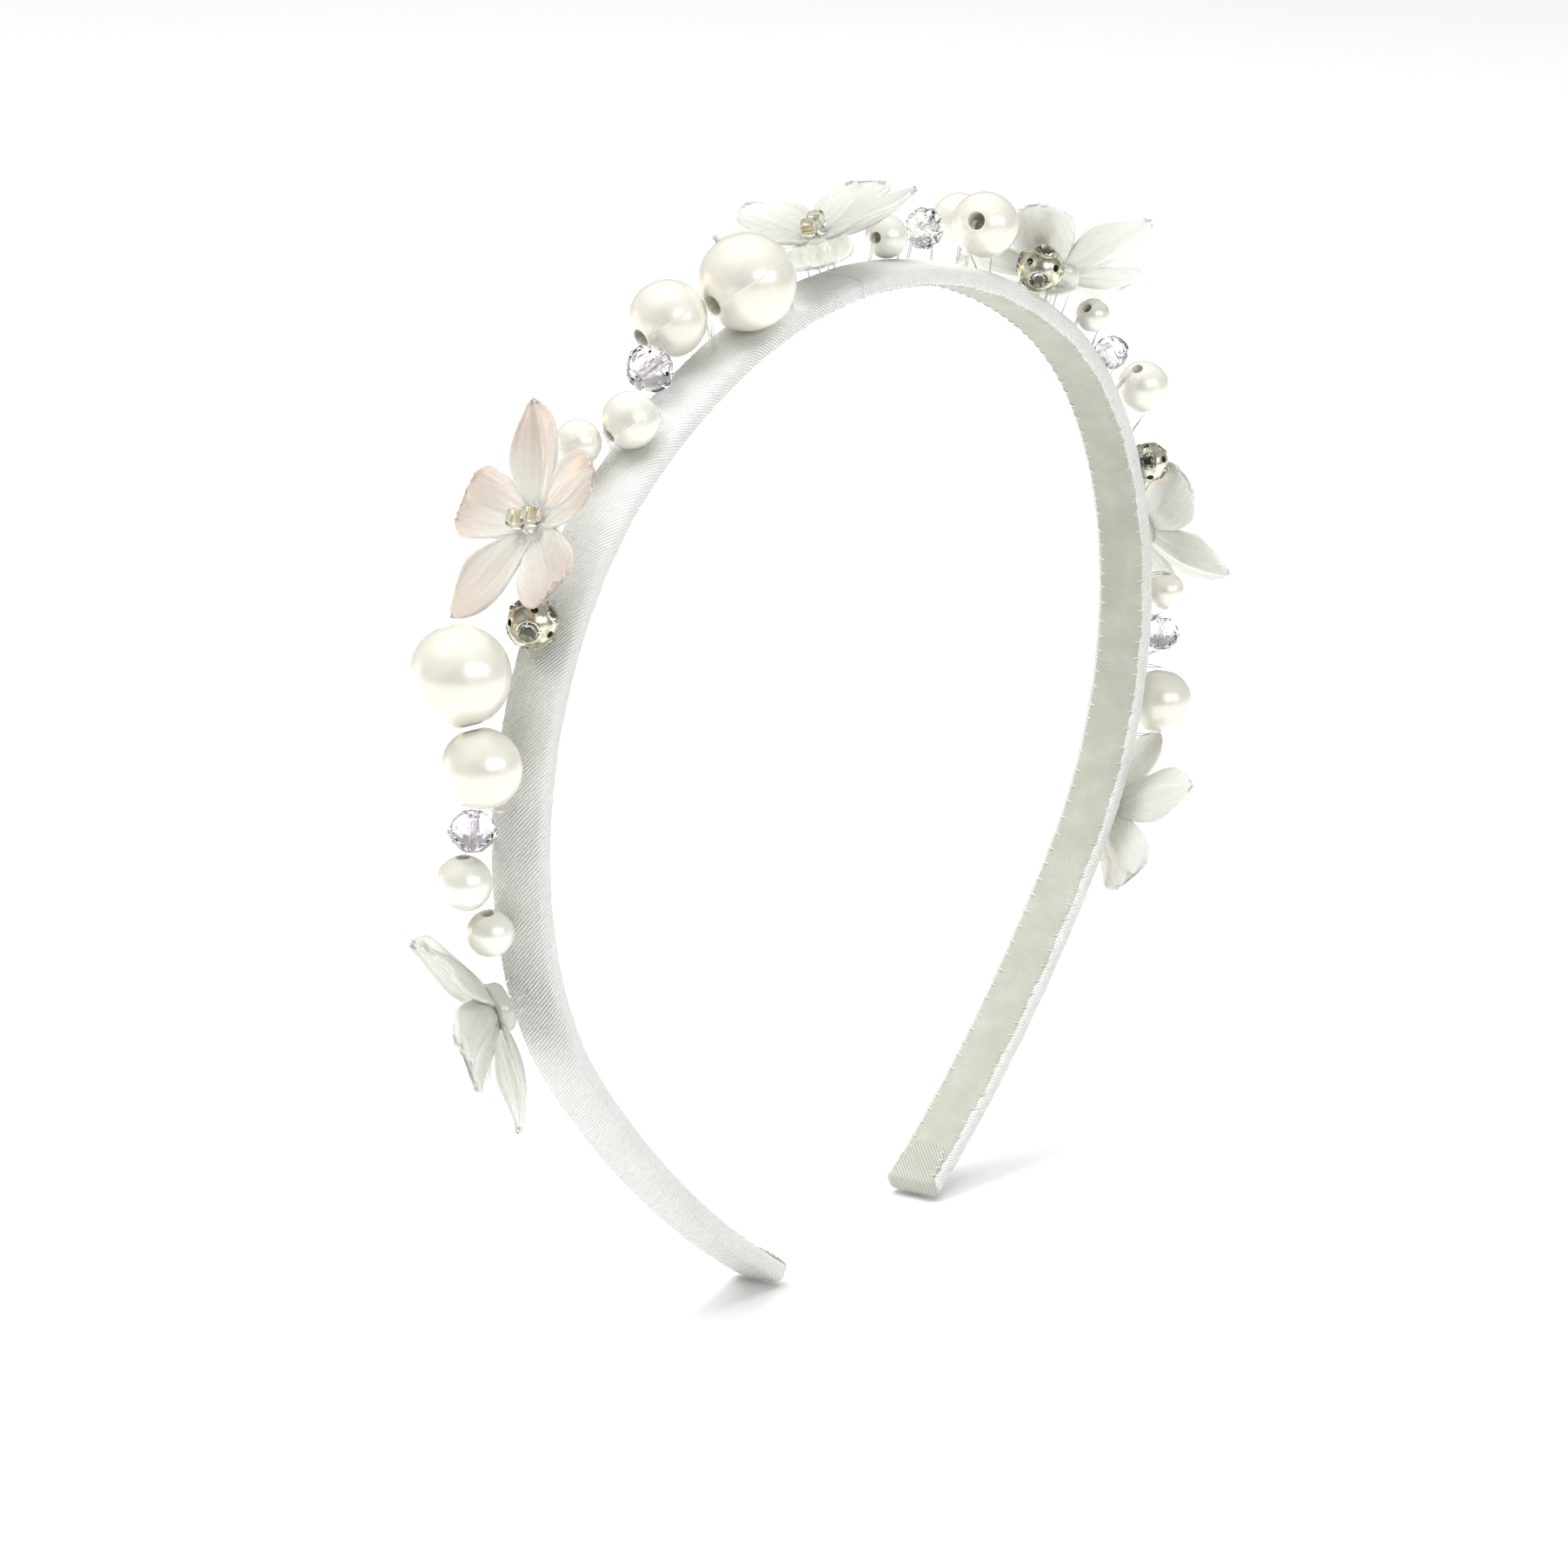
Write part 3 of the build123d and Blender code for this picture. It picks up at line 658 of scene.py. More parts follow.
def whip_stitches(name, start, stop, sign):
    """Slanted hand stitches that catch the lining's edges to the hems."""
    pile = Pile()
    for edge, inward in ((RIBBON_FRONT_EDGE, 1), (RIBBON_BACK_EDGE, -1)):
        wrap = RIBBON_WRAP if inward > 0 else 0.0
        place = start + sign * 1.1
        while abs(place) < abs(stop):
            lean = sign * (0.5 + 0.12 * random.standard_normal())
            first = place + 0.1 * random.standard_normal()
            bends = ((0.0, -0.2, COVER_BOTTOM + wrap + 0.02), (0.4, -0.04, RIBBON_HEIGHT + wrap - 0.1),
                     (0.8, 0.35, RIBBON_HEIGHT + 0.5 * wrap - 0.22), (1.0, 0.7, RIBBON_HEIGHT - 0.12))
            route = [strip_point(first + share * lean, edge + inward * reach, height)
                     for share, reach, height in bends]
            path = smooth_path(route, 4)
            swell = np.interp(np.linspace(0, 1, len(path)), (0, 0.2, 0.8, 1), (0.5, 1, 1, 0.5))
            pile.add(*tube(path, FRONT_STITCH if inward > 0 else BACK_STITCH, 6, swell))
            place += sign * STITCH_PITCH * (1 + 0.07 * random.standard_normal())
    return pile.build(name, [STITCH])


def turned_end(name, sign):
    """Satin tucked over the tip and turned under on the lining, with mitred corners and catching stitches."""
    pile = Pile()
    count = 44
    points, coords = [], []
    for back in (-0.16, -0.12, 0.0, 0.2, 0.5, 0.85, 1.1, 1.3, 1.6, *np.arange(2.0, 6.7, 0.25)):
        place = sign * (STRIP_HALF_LENGTH - back)
        cap = 1.0 - min(1.0, max(0.0, (back - 0.85) / 0.5))
        tip = math.sqrt(max(0.0, 1 - min(1.0, (0.5 - back) / 0.68) ** 2)) if back < 0.5 else 1.0
        narrowing = 0.3 * (max(0.0, back - 3.4) / 3.2) ** 1.5
        width = (3.55 * cap + 3.1 * (1 - cap)) * (0.8 + 0.2 * tip) * (1 - narrowing)
        top = (COVER_TOP - 0.12) * cap + (RIBBON_HEIGHT + 0.1) * (1 - cap)
        fade = min(1.0, max(0.0, (6.75 - back) / 0.45)) ** 0.5
        bottom = RIBBON_HEIGHT - 0.1 - 0.2 * fade
        middle, reach = 0.5 * (top + bottom), 0.5 * (top - bottom) * (0.35 + 0.65 * tip)
        for angle in angles(count):
            c, s = math.cos(angle), math.sin(angle)
            across = width * eased(c, 0.34)
            crease = 0.035 * math.sin(2.4 * across + 0.8 * back) * (s < 0) * (back > 0.6)
            points.append(strip_point(place, across, middle + reach * eased(s, 0.4) + crease))
            coords.append((place, across + 20.0, 0.0))
    pile.add(points, capped(len(points) // count, count, flip=sign < 0), coords)
    for side in (-1, 1):
        for back in (1.9, 3.2, 4.5, 5.7):
            place = sign * (STRIP_HALF_LENGTH - back)
            edge = side * 3.1 * (1 - 0.3 * (max(0.0, back - 3.4) / 3.2) ** 1.5)
            route = [strip_point(place + along, edge + side * out, RIBBON_HEIGHT - drop)
                     for along, out, drop in ((0.0, 0.12, 0.05), (0.2, -0.05, 0.3), (0.4, -0.42, 0.28))]
            pile.add(*tube(smooth_path(route, 4), END_STITCH, 6), slot=1)
    # The turned end wears the darker satin copy, which paints its shade.
    return pile.build(name, [SHADED_SATIN, STITCH])


def make_covering():
    """Cover, lining, seams and turned end of each side. The crown's CAD layers belong to the right side."""
    for side, sign, flex in (("left", -1, LEFT_FLEX), ("right", 1, RIGHT_FLEX)):
        leg = f"{side}_leg"
        start = strip_point(flex - sign * FLEX_ZONE, 0, 0) * MM
        stop = strip_point(flex + sign * FLEX_ZONE, 0, 0) * MM
        end = sign * STRIP_HALF_LENGTH
        bodies = ("left",) if side == "left" else ("crown", "right")
        cover, wrap = cover_half(f"satin_{side}", COVER_SPLIT, end - sign * CAP_REACH * 0.7, sign)
        ribbon = ribbon_half(f"ribbon_{side}", COVER_SPLIT, end - sign * CAP_REACH, sign)
        stitches = whip_stitches(f"stitches_{side}", COVER_SPLIT, end - sign * 7.0, sign)
        for piece, layer in ((cover, "satin_cover"), (ribbon, "lining"), (stitches, "seam_thread")):
            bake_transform(piece)
            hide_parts(*(f"{layer}_{body}" for body in bodies))
        tip = turned_end(f"turned_end_{side}", sign)
        stand_in(tip, leg, f"end_fold_{side}")


# ---- pearls, crystals and rhinestone balls

# Mould seam of a pearl: the side it is turned to, where it runs, its half width in radians and its height
PEARL_SEAM_SIDE = (0.35, -0.75, 0.55)
SEAM_ANGLES = (0.02, math.pi + 0.02)
SEAM_WIDTH, SEAM_RISE = 0.012, 0.05
LARGE_PEARL_RADIUS = 3.6
MOUTH_RINGS = 4


def make_pearl(name):
    """Moulded bead: eased bore mouths, a slightly uneven surface and a fine mould seam through the bore."""
    radius, bore = (size / 2 for size in PEARLS[name])
    lip = 0.12 + 0.03 * radius
    steps = (-0.026, -0.012, 0.0, 0.012, 0.026)
    seam_turns = {round(base + step, 5) for base in SEAM_ANGLES for step in steps}
    turns = sorted(set(np.round(angles(72), 5)) | seam_turns)
    mouth = math.asin(min(0.95, (bore + lip) / radius))
    outline = [(bore * 0.98, -radius * 0.2), (bore, lip * 1.1 - radius * math.cos(math.asin(bore / radius)))]
    for t in np.linspace(0.2, math.pi / 2, 5):
        rim = radius * math.cos(mouth) + lip * 0.25 * math.sin(t * 2)
        outline.append((bore + lip * (1 - math.cos(t)), lip * (1 - math.sin(t)) - rim))
    mouths = outline[::-1]
    ball = np.linspace(mouth * 1.04, math.pi - mouth * 1.04, 46)
    outline += [(radius * math.sin(t), -radius * math.cos(t)) for t in ball]
    outline += [(r, -z) for r, z in mouths]
    lumps = random.uniform(0, 2 * math.pi, 4)[:3]
    points = []
    for r, z in outline:
        for turn in turns:
            swell = 1 + 0.004 * math.sin(2 * turn + lumps[0]) * r / radius
            swell += 0.003 * math.sin(3 * turn + lumps[1])
            seam = sum(math.exp(-((turn - base) / SEAM_WIDTH) ** 2) for base in SEAM_ANGLES)
            size = r * swell + SEAM_RISE * seam * (r > bore * 1.3)
            height = z * (1 + 0.003 * math.sin(turn + lumps[2]))
            points.append((size * math.cos(turn), size * math.sin(turn), height))
    ring = len(turns)
    thing = make_mesh(name + "_lacquered", points, looped_faces(len(outline), ring))
    thing.data.materials.append(PEARL_LARGE if radius > LARGE_PEARL_RADIUS else PEARL_SMALL)
    thing.data.materials.append(BORE)
    inner = {*range(MOUTH_RINGS), *range(len(outline) - MOUTH_RINGS - 1, len(outline))}
    for face in thing.data.polygons:
        face.material_index = int({v // ring for v in face.vertices} <= inner)
    return thing


def make_crystal(name, material):
    """Rondelle cut with two rows of triangular facets on each side of a narrow belt."""
    radius = CRYSTALS[name] / 2
    length = 2 * radius * RONDELLE_LENGTH_RATIO
    count, bore = 10, 0.5
    half = [(bore, 0.42 * length, 0.0), (0.5 * radius, 0.5 * length, 0.0),
            (0.84 * radius, 0.27 * length, 0.5), (radius, 0.05 * length, 0.0)]
    rows = [(r, -z, offset) for r, z, offset in half] + half[::-1]
    points = []
    for r, z, offset in rows:
        points += [(r * math.cos(angle), r * math.sin(angle), z) for angle in angles(count, offset)]
    faces = []
    for i, (below, above) in enumerate(zip(rows, rows[1:])):
        for k in range(count):
            (a, b), (c, d) = pair(i, k, count), pair(i + 1, k, count)
            if below[2] == above[2]:
                faces.append((a, b, d, c))
            elif above[2] > below[2]:
                faces += [(a, b, c), (b, d, c)]
            else:
                faces += [(a, b, d), (a, d, c)]
    faces += closing_faces(len(rows), count)
    thing = make_mesh(name + "_cut", points, faces, smooth=False)
    thing.data.materials.append(material)
    return thing


def seat_axes():
    """Six seat directions square to each other, none along the bore (local z)."""
    axes = []
    for index in range(3):
        swing, flat = math.radians(120 * index), math.sqrt(2 / 3)
        axis = np.array([flat * math.cos(swing), flat * math.sin(swing), math.sqrt(1 / 3)])
        axes += [axis, -axis]
    return axes


def side_pair(axis):
    side = unit(np.cross(axis, [0.2, 0.3, 0.93]))
    return side, np.cross(axis, side)


def ring_at(axis, radius, height, count, offset=0.0):
    side, other = side_pair(axis)
    return [axis * height + radius * compass(side, other, t) for t in angles(count, offset)]


# Stones of a rhinestone ball. Rows are the table, the crown, the girdle and its lower edge:
# radius as a share of the stone's, height over the ball's surface, and turn in facets
CHATON_RATIO, CHATON_CLEARANCE, CHATON_SIDES = 0.42, 0.03, 8
CHATON_ROWS = ((0.5, 0.05, 0.5), (0.8, -0.05, 0.0), (1.0, -0.2, 0.5), (1.0, -0.3, 0.5))
BEZEL_RADIUS, CLAW_RADIUS, CLAWS = 0.13, 0.14, 4
BALL_WALL = 0.62


def make_ball_stones(name):
    """Chatons: faceted glass over a foiled cone."""
    half = BALLS[name] / 2
    stone = half * CHATON_RATIO - CHATON_CLEARANCE
    pile = Pile()
    count = CHATON_SIDES
    for axis in seat_axes():
        points = []
        for share, height, turn in CHATON_ROWS:
            points += ring_at(axis, stone * share, half + height, count, turn)
        points.append(axis * (half - 1.0))
        faces = [list(range(count))]
        for i in range(2):
            for k in range(count):
                (a, b), (c, d) = pair(i, k, count), pair(i + 1, k, count)
                faces += [(a, c, d), (a, d, b)]
        for k in range(count):
            a, b = pair(2, k, count)
            faces += [(a, a + count, b + count, b), (a + count, 4 * count, b + count)]
        pile.add(points, faces)
        foil = ring_at(axis, stone * 0.99, half - 0.34, count, 0.5) + [axis * (half - 1.08)]
        foil_back = ring_at(axis, stone * 0.97, half - 0.4, count, 0.5) + [axis * (half - 1.16)]
        behind = count + 1
        sides = [(k, count, (k + 1) % count) for k in range(count)]
        backs = [(behind + k, behind + (k + 1) % count, behind + count) for k in range(count)]
        rims = [(k, (k + 1) % count, behind + (k + 1) % count, behind + k) for k in range(count)]
        pile.add(foil + foil_back, sides + backs + rims, slot=1)
    return pile.build(name + "_stones", [STONE, SILVER], smooth=False)


def make_ball_settings(name):
    """Bezel rims and claws on the shell, and a dark sphere inside it, seen through its piercings: painted
    shade.
    """
    half = BALLS[name] / 2
    stone = half * CHATON_RATIO
    height = math.sqrt(half**2 - stone**2)
    pile = Pile()
    for axis in seat_axes():
        side, other = side_pair(axis)
        around, minor = 32, 8
        points = []
        for turn in angles(around):
            radial = compass(side, other, turn)
            centre = axis * (height - 0.03) + (stone + 0.06) * radial
            points += [centre + BEZEL_RADIUS * compass(radial, axis, angle) for angle in angles(minor)]
        pile.add(points, looped_faces(around, minor))
        for turn in angles(CLAWS, 0.5):
            radial = compass(side, other, turn)
            base = axis * (height - 0.12) + radial * (stone + 0.2)
            tip = axis * (half - 0.02) + radial * (stone - 0.24)
            path = smooth_path([base, axis * (half - 0.16) + radial * (stone + 0.03), tip], 5)
            taper = np.interp(np.linspace(0, 1, len(path)), (0, 0.8, 1), (1.1, 1.0, 0.55))
            pile.add(*tube(path, CLAW_RADIUS, 8, taper))
    # Dark inner sphere: painted shade behind the piercings.
    inside = half - BALL_WALL
    rings, around = 14, 20
    points = [(inside * math.sin(a) * math.cos(b), inside * math.sin(a) * math.sin(b), inside * math.cos(a))
              for a in np.linspace(0.16, math.pi - 0.16, rings) for b in angles(around)]
    pile.add(points, capped(rings, around, flip=True), slot=1)
    return pile.build(name + "_settings", [SILVER, INSIDE_SHADE])


def ball_side(axis, centre):
    """Direction of the first seat's side: across the strip's outward direction and the bore."""
    z = unit(axis)
    outward = min((strip_frame(s) for s in np.arange(-180, 181, 0.5)),
                  key=lambda f: np.linalg.norm(f[0] - np.asarray(centre) / MM + f[2] * 4.0))[2]
    return tuple(np.cross(z, outward))


def give(node, material):
    """A new material on a carried-over CAD node."""
    materials = frame["nodes"][node].data.materials
    materials.clear()
    materials.append(material)


def make_beads():
    for name in PEARLS:
        centre, axis, body, _ = bead_pose(name)
        stand_in(basis_object(make_pearl(name), centre, axis, PEARL_SEAM_SIDE), body, name)
    for name in CRYSTALS:
        centre, axis, body, _ = bead_pose(name)
        glass = CLEAR_CRYSTAL if name == "crystal_3" else CRYSTAL
        stand_in(basis_object(make_crystal(name, glass), centre, axis), body, name)
    for name in BALLS:
        centre, axis, body, _ = bead_pose(name)
        side = ball_side(axis, centre)
        stones = basis_object(make_ball_stones(name), centre, axis, side)
        stand_in(stones, body, f"{name}_chatons")
        settings = basis_object(make_ball_settings(name), centre, axis, side)
        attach(settings, body)
        give(f"{name}_shell", SILVER)


# ---- flowers

# Petal kinds: half widths at stations from hub to tip, as shares; length and depth of the end's notch in mm
PETAL_TABLE = {
    "pointed": ((0, 0.15, 0.35, 0.55, 0.75, 0.9, 1.0), (0.42, 0.6, 0.93, 1.06, 0.86, 0.46, 0.06), 14.4, 0.0),
    "blunt": ((0, 0.15, 0.35, 0.6, 0.8, 0.93, 1.0), (0.42, 0.58, 0.84, 1.04, 1.08, 0.9, 0.56), 12.6, 1.3),
    "round": ((0, 0.15, 0.35, 0.6, 0.8, 0.93, 1.0), (0.42, 0.6, 0.9, 1.06, 0.97, 0.66, 0.24), 13.2, 0.2),
}
PETAL_ORDER = ("pointed", "blunt", "pointed", "blunt", "round")
PETAL_HALF_WIDTH = 4.2
PETAL_ROOT = 1.2
# Radius and height of the hub's section, from the bottom of its hole round to the top
HUB_PROFILE = ((0.55, -1.35), (1.7, -1.4), (2.6, -1.25), (3.0, -0.85), (3.1, -0.2), (3.25, 0.3), (3.0, 0.72),
               (2.4, 0.86), (1.6, 0.78), (0.9, 0.62), (0.5, 0.5))
# Groove depth of each tint, in shape and in painted shade.
VEINING = {"pink": 0.8, "silver": 1.1, "pale": 0.4}
VEINS = ((-0.6, 0.6), (-0.3, 0.8), (0.0, 1.2), (0.3, 0.8), (0.6, 0.6))


def petal_shape(kind, curl, bend, crease, lift, veining):
    """One petal along x: a thin lens with a cupped section, rolled rims and lengthwise veins.

    curl turns the tip up, bend sweeps it sideways in mm, crease folds it along its middle in mm,
    lift tips the whole petal up from its root in radians, and veining scales the depth of its grooves.
    """
    shares, widths, length, notch = PETAL_TABLE[kind]
    rings, around = 36, 84
    points, coords = [], []
    for a in 1 - (1 - np.linspace(0, 1, rings)) ** 1.35:
        width = PETAL_HALF_WIDTH * profile_value(shares, widths, a)
        x = PETAL_ROOT + (length - PETAL_ROOT) * a
        rise = 0.35 + 3.0 * (x / 14.5) ** 1.7 + curl * max(0.0, a - 0.55) ** 2 * 9.0
        belly = math.sin(math.pi * min(1.0, a * 1.1 + 0.02))
        wave = 0.22 * math.sin(5.0 * a + 3.0 * bend)
        for angle in angles(around):
            c, s = math.cos(angle), math.sin(angle)
            v = eased(c, 0.8)
            body = 0.4 * (1 - 0.5 * a) * eased(s, 0.45)
            cup = (0.95 * v * v + wave * v**3) * belly * width / PETAL_HALF_WIDTH
            roll = 0.26 * math.exp(-((abs(v) - 0.9) / 0.09) ** 2) * min(1.0, 4 * a) * (s > 0)
            fold = -crease * math.exp(-((v / 0.24) ** 2)) * math.sin(math.pi * a)
            spread = 1 - 0.3 * a
            veins = sum(depth * math.exp(-(((v - vein * spread) / 0.07) ** 2)) for vein, depth in VEINS)
            groove = veins * belly * veining
            pull = notch * math.exp(-((v - 0.12) / 0.28) ** 2) * max(0.0, (a - 0.72) / 0.28) ** 2
            corner = 0.6 * (a > 0.97) * abs(v) ** 3
            height = rise + cup + roll + fold + body - 0.15 * groove
            points.append((x - pull - corner, width * v + bend * a * a, height))
            # z carries the groove depth, which the petal material turns into painted shade.
            coords.append((x, width * v, min(1.0, 0.6 * groove)))
    points = np.array(points) - (PETAL_ROOT, 0.0, 0.0)
    c, s = math.cos(lift), math.sin(lift)
    tip_up = np.array([[c, 0, s], [0, 1, 0], [-s, 0, c]])
    points = points @ tip_up + (PETAL_ROOT, 0.0, 0.0)
    return points, capped(rings, around), np.array(coords)


def flower_basis(place, across, height, tilt_along, tilt_across, spin):
    centre, along, outward = strip_frame(place)
    y_axis = np.array([0.0, 1.0, 0.0])
    face = unit(outward + along * tilt_along + y_axis * tilt_across)
    level = unit(along - face * along.dot(face))
    swing = math.radians(spin)
    first = level * math.cos(swing) + np.cross(face, level) * math.sin(swing)
    origin = centre + outward * height + np.array([0.0, across, 0.0])
    return origin, first, np.cross(face, first), face


# Curl, sideways bend, crease and lift of each petal of each flower
PETAL_MOODS = {
    "flower_1": ((0.3, 0.6, 0.5, 0.0), (0.1, 0.0, 0.2, 0.0), (0.35, -1.3, 0.7, -0.05), (-0.3, -2.4, 0.5, 0.6),
                 (0.1, 0.6, 0.3, 0.3)),
    "flower_2": ((0.1, 0.3, 0.55, 0.04), (-0.1, -0.3, 0.2, 0.0), (0.0, 0.5, 0.45, 0.0),
                 (-0.1, 0.4, 0.2, -0.08), (-0.2, -0.6, 0.5, 0.04)),
    "flower_3": ((0.1, 0.3, 0.5, 0.1), (0.15, 0.0, 0.3, 0.0), (0.0, -0.4, 0.4, -0.02), (0.0, 0.3, 0.3, 0.08),
                 (-0.15, 0.0, 0.1, -0.17)),
    "flower_4": ((0.1, 0.2, 0.4, 0.0), (0.1, -0.3, 0.25, 0.0), (0.0, 0.2, 0.4, 0.0), (0.1, 0.2, 0.3, 0.0),
                 (0.15, 0.0, 0.15, 0.0)),
    "flower_5": ((0.0, -3.4, 0.4, 0.0), (0.1, -2.6, 0.3, 0.0), (0.1, -1.0, 0.4, 0.0), (0.0, -0.5, 0.3, 0.0),
                 (0.1, -1.2, 0.15, 0.0)),
    "flower_6": ((0.0, 0.8, 0.4, 0.0), (0.1, -0.6, 0.3, 0.0), (0.1, 0.3, 0.4, 0.0), (0.0, 0.0, 0.3, 0.0),
                 (0.1, -0.2, 0.15, 0.0)),
}


def make_flower(name):
    body, place, across, height, tilt_along, tilt_across, spin, tint = FLOWERS[name]
    origin, first, second, face = flower_basis(place, across, height, tilt_along, tilt_across, spin)
    matrix = np.column_stack([first, second, face])
    pile = Pile()
    for index, (kind, mood) in enumerate(zip(PETAL_ORDER, PETAL_MOODS[name])):
        points, faces, coords = petal_shape(kind, *mood, VEINING[tint])
        turn = math.radians(72 * index)
        c, s = math.cos(turn), math.sin(turn)
        spun = np.array([[c, -s, 0], [s, c, 0], [0, 0, 1]])
        pile.add(points @ spun.T, faces, coords)
    around = 40
    points = []
    for radius, z in HUB_PROFILE:
        for t in angles(around):
            lobed = radius * (1 + 0.03 * math.cos(5 * t))
            points.append((lobed * math.cos(t), lobed * math.sin(t), z))
    pile.add(points, looped_faces(len(HUB_PROFILE), around), [(0.0, 0.0, 0.0)] * len(points))
    pile.points = [clear_of_balls(p @ matrix.T + origin) for p in pile.points]
    flower = pile.build(name + "_petals", [PETALS[tint]])
    stand_in(flower, body, name)


def seed_pair(pose):
    """Centres of a flower's two seed beads, and its hub's directions."""
    origin, first, second, face = flower_basis(*pose)
    centres = [origin + face * SEED_HEIGHT + second * side for side in (-SEED_SPREAD, SEED_SPREAD)]
    return centres, first, second, face


def make_seeds(name):
    """Pair of round-edged glass beads on a flower's hub."""
    body, *pose, _ = FLOWERS[name]
    centres, first, second, face = seed_pair(pose)
    pile = Pile()
    around, minor = 36, 18
    for centre in centres:
        points = []
        for t in angles(around):
            radial = compass(second, face, t)
            for angle in angles(minor):
                out = 0.8 + 0.4 * eased(math.cos(angle), 0.7)
                points.append(centre + radial * out + first * 0.95 * eased(math.sin(angle), 0.8))
        pile.add(points, [quad[::-1] for quad in looped_faces(around, minor)])
    seeds = pile.build(name.replace("flower", "glass_seeds"), [SEED])
    stand_in(seeds, body, name.replace("flower", "seed_beads"))


# ---- threads

def nearest_place(point):
    """Place along the strip that is nearest to a point in mm."""
    places = np.arange(-185, 185.1, 0.5)
    gaps = [np.linalg.norm(strip_frame(s)[0] - np.array([point[0], 0.0, point[2]])) for s in places]
    return float(places[int(np.argmin(gaps))])


def foot(point, drift=0.0):
    """Where a thread from a point goes into the satin."""
    place = nearest_place(point) + drift
    across = max(-2.7, min(2.7, point[1]))
    return strip_point(place, across, OUTER_FACE + 0.1)


def make_threads():
    """Clear thread through every bead and flower hub, down to the satin on both sides."""
    piles = {"left_leg": Pile(), "crown": Pile(), "right_leg": Pile()}
    half_lengths = {name: diameter / 2 for name, (diameter, _) in PEARLS.items()}
    half_lengths.update({name: size * RONDELLE_LENGTH_RATIO / 2 for name, size in CRYSTALS.items()})
    half_lengths.update({name: size / 2 for name, size in BALLS.items()})
    for name, half in half_lengths.items():
        if name in SHARED_STITCH.values():
            continue
        last = SHARED_STITCH.get(name, name)
        low_centre, low_axis, _, body = bead_pose(name)
        high_centre, high_axis, _, _ = bead_pose(last)
        low = np.asarray(low_centre) / MM - np.asarray(low_axis) * (half + THREAD_STANDOFF)
        high = np.asarray(high_centre) / MM + np.asarray(high_axis) * (half_lengths[last] + THREAD_STANDOFF)
        for strand, drift in ((-0.12, 0.1), (0.12, 0.55)):
            nudge = np.array([0.0, strand, 0.0])
            route = [foot(low, -drift - 0.3), low + nudge, high + nudge, foot(high, drift + 0.3)]
            piles[body].add(*tube(rounded_path(route, THREAD_CORNER), THREAD_RADIUS, 6))
    for name, (body, *pose, _) in FLOWERS.items():
        centres, first, _, face = seed_pair(pose)
        for centre in centres:
            ends = [centre - first * SEED_REACH, centre + first * SEED_REACH]
            back = face * -(SEED_HEIGHT + BOSS_DEPTH)
            route = [foot(ends[0] + back), ends[0] + back, *ends, ends[1] + back, foot(ends[1] + back)]
            piles[body].add(*tube(rounded_path(route, SEWING_CORNER), SEWING_RADIUS, 6))
    for body, pile in piles.items():
        side = body.split("_")[0]
        threads = pile.build(f"filament_{side}", [FILAMENT])
        stand_in(threads, body, f"bead_threads_{side}")


# ---- studio

# Camera: heading, dip and tilt in radians, place in mm, and lens on a 36 mm sensor
CAMERA_YAW, CAMERA_PITCH, CAMERA_ROLL = 1.0071, -0.2844, 0.0104
CAMERA_PLACE = (-664.88, -411.46, 165.89)
CAMERA_LENS, CAMERA_SENSOR = 149.69, 36.0
LIGHT_AIM = (0.0, 0.0, -0.055)
FLOOR_REACH, FLOOR_GAP = 9000, 0.0004


def add_camera():
    """The photograph's viewing angle: from the left front and a little above."""
    yaw, pitch, roll = CAMERA_YAW, CAMERA_PITCH, CAMERA_ROLL
    ahead = Vector((math.sin(yaw) * math.cos(pitch), math.cos(yaw) * math.cos(pitch), math.sin(pitch)))
    level = Vector((math.cos(yaw), -math.sin(yaw), 0.0))
    above = level.cross(ahead)
    right = level * math.cos(roll) + above * math.sin(roll)
    up = above * math.cos(roll) - level * math.sin(roll)
    matrix = Matrix((right, up, -ahead)).transposed().to_4x4()
    matrix.translation = Vector(CAMERA_PLACE) * MM
    data = bpy.data.cameras.new("camera")
    data.lens = CAMERA_LENS
    data.sensor_width = CAMERA_SENSOR
    data.clip_end = 50.0
    camera = bpy.data.objects.new("camera", data)
    camera.matrix_world = matrix
    bpy.context.scene.collection.objects.link(camera)
    bpy.context.scene.camera = camera
    return right, up, -ahead


def add_light(name, direction, distance, size, power, colour=(1.0, 1.0, 1.0), mirrored=True):
    """Area light that looks at the band's middle; mirrored ones show in glossy faces."""
    data = bpy.data.lights.new(name, "AREA")
    data.shape = "RECTANGLE"
    data.size, data.size_y = size
    data.energy = power
    data.color = colour
    light = bpy.data.objects.new(name, data)
    away = Vector(direction).normalized()
    light.location = Vector(LIGHT_AIM) + away * distance
    light.rotation_euler = away.to_track_quat("Z", "Y").to_euler()
    light.visible_glossy = mirrored
    bpy.context.scene.collection.objects.link(light)


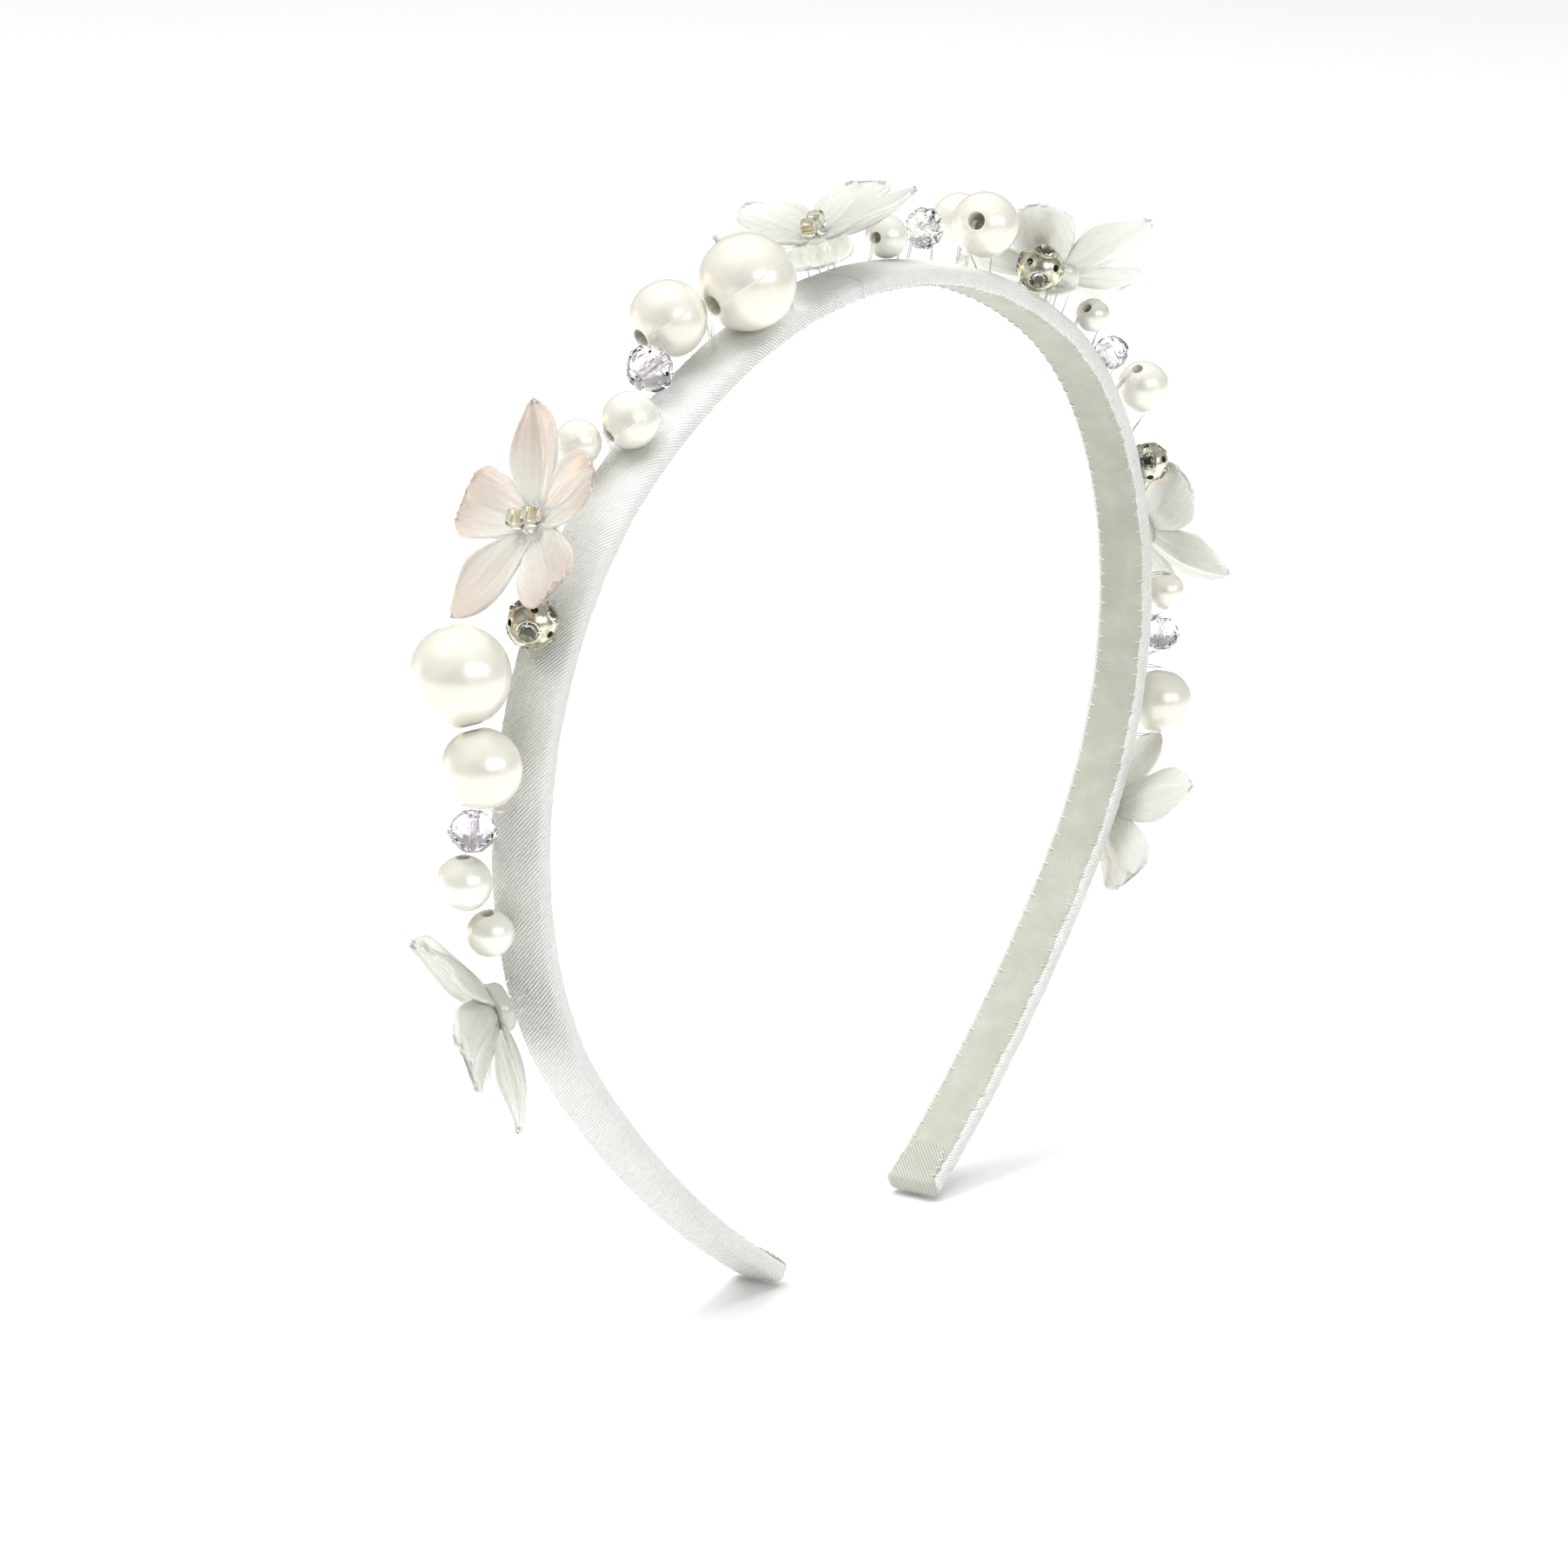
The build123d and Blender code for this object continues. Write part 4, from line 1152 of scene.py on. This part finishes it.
def add_studio():
    """Camera, soft lights, a world that darkens towards the camera, and the floor."""
    right, up, back = add_camera()

    def toward(x, y, z):
        return right * x + up * y + back * z

    add_light("window_near", toward(0.5, 0.2, 0.84), 1.5, (0.75, 0.65), 3.8)
    add_light("window_far", toward(0.84, 0.2, 0.5), 1.5, (0.24, 0.42), 1.8)
    add_light("window_low", toward(0.42, -0.42, 0.8), 1.5, (0.2, 0.12), 0.2)
    add_light("overhead", (0.1, 0.0, 1.0), 1.3, (1.3, 1.3), 16.0, mirrored=False)
    add_light("upper_left", toward(-0.5, 0.8, 0.35), 1.3, (1.1, 0.8), 11.0, mirrored=False)
    add_light("warm_side", toward(-0.92, -0.1, -0.3), 1.2, (0.5, 0.9), 3.2, (1.0, 0.62, 0.42))
    world = bpy.data.worlds.new("studio")
    bpy.context.scene.world = world
    world.use_nodes = True
    nodes, links = world.node_tree.nodes, world.node_tree.links
    place = nodes.new("ShaderNodeTexCoord")
    facing = nodes.new("ShaderNodeVectorMath")
    facing.operation = "DOT_PRODUCT"
    facing.inputs[1].default_value = (back - 0.35 * up).normalized()
    links.new(place.outputs["Generated"], facing.inputs[0])
    shade = nodes.new("ShaderNodeValToRGB")
    for element, position, level in zip(shade.color_ramp.elements, (0.55, 0.95), (1.0, 0.25)):
        element.position = position
        element.color = (level, level * 1.01, level * 0.97, 1.0)
    links.new(facing.outputs["Value"], shade.inputs["Fac"])
    links.new(shade.outputs["Color"], nodes["Background"].inputs["Color"])
    nodes["Background"].inputs["Strength"].default_value = 0.42
    corners = [(x * FLOOR_REACH, y * FLOOR_REACH, 0) for x, y in ((-1, -1), (1, -1), (1, 1), (-1, 1))]
    floor = make_mesh("floor", corners, [(0, 1, 2, 3)])
    floor.location = (0.0, 0.0, CAD_BOUNDS[0][2] - FLOOR_GAP)
    floor.data.materials.append(FLOOR)
    bpy.context.scene.view_settings.view_transform = "Standard"


make_covering()
make_beads()
for flower_name in FLOWERS:
    make_flower(flower_name)
    make_seeds(flower_name)
make_threads()
for side_name in ("left", "crown", "right"):
    give(f"core_{side_name}", CORE)
add_studio()
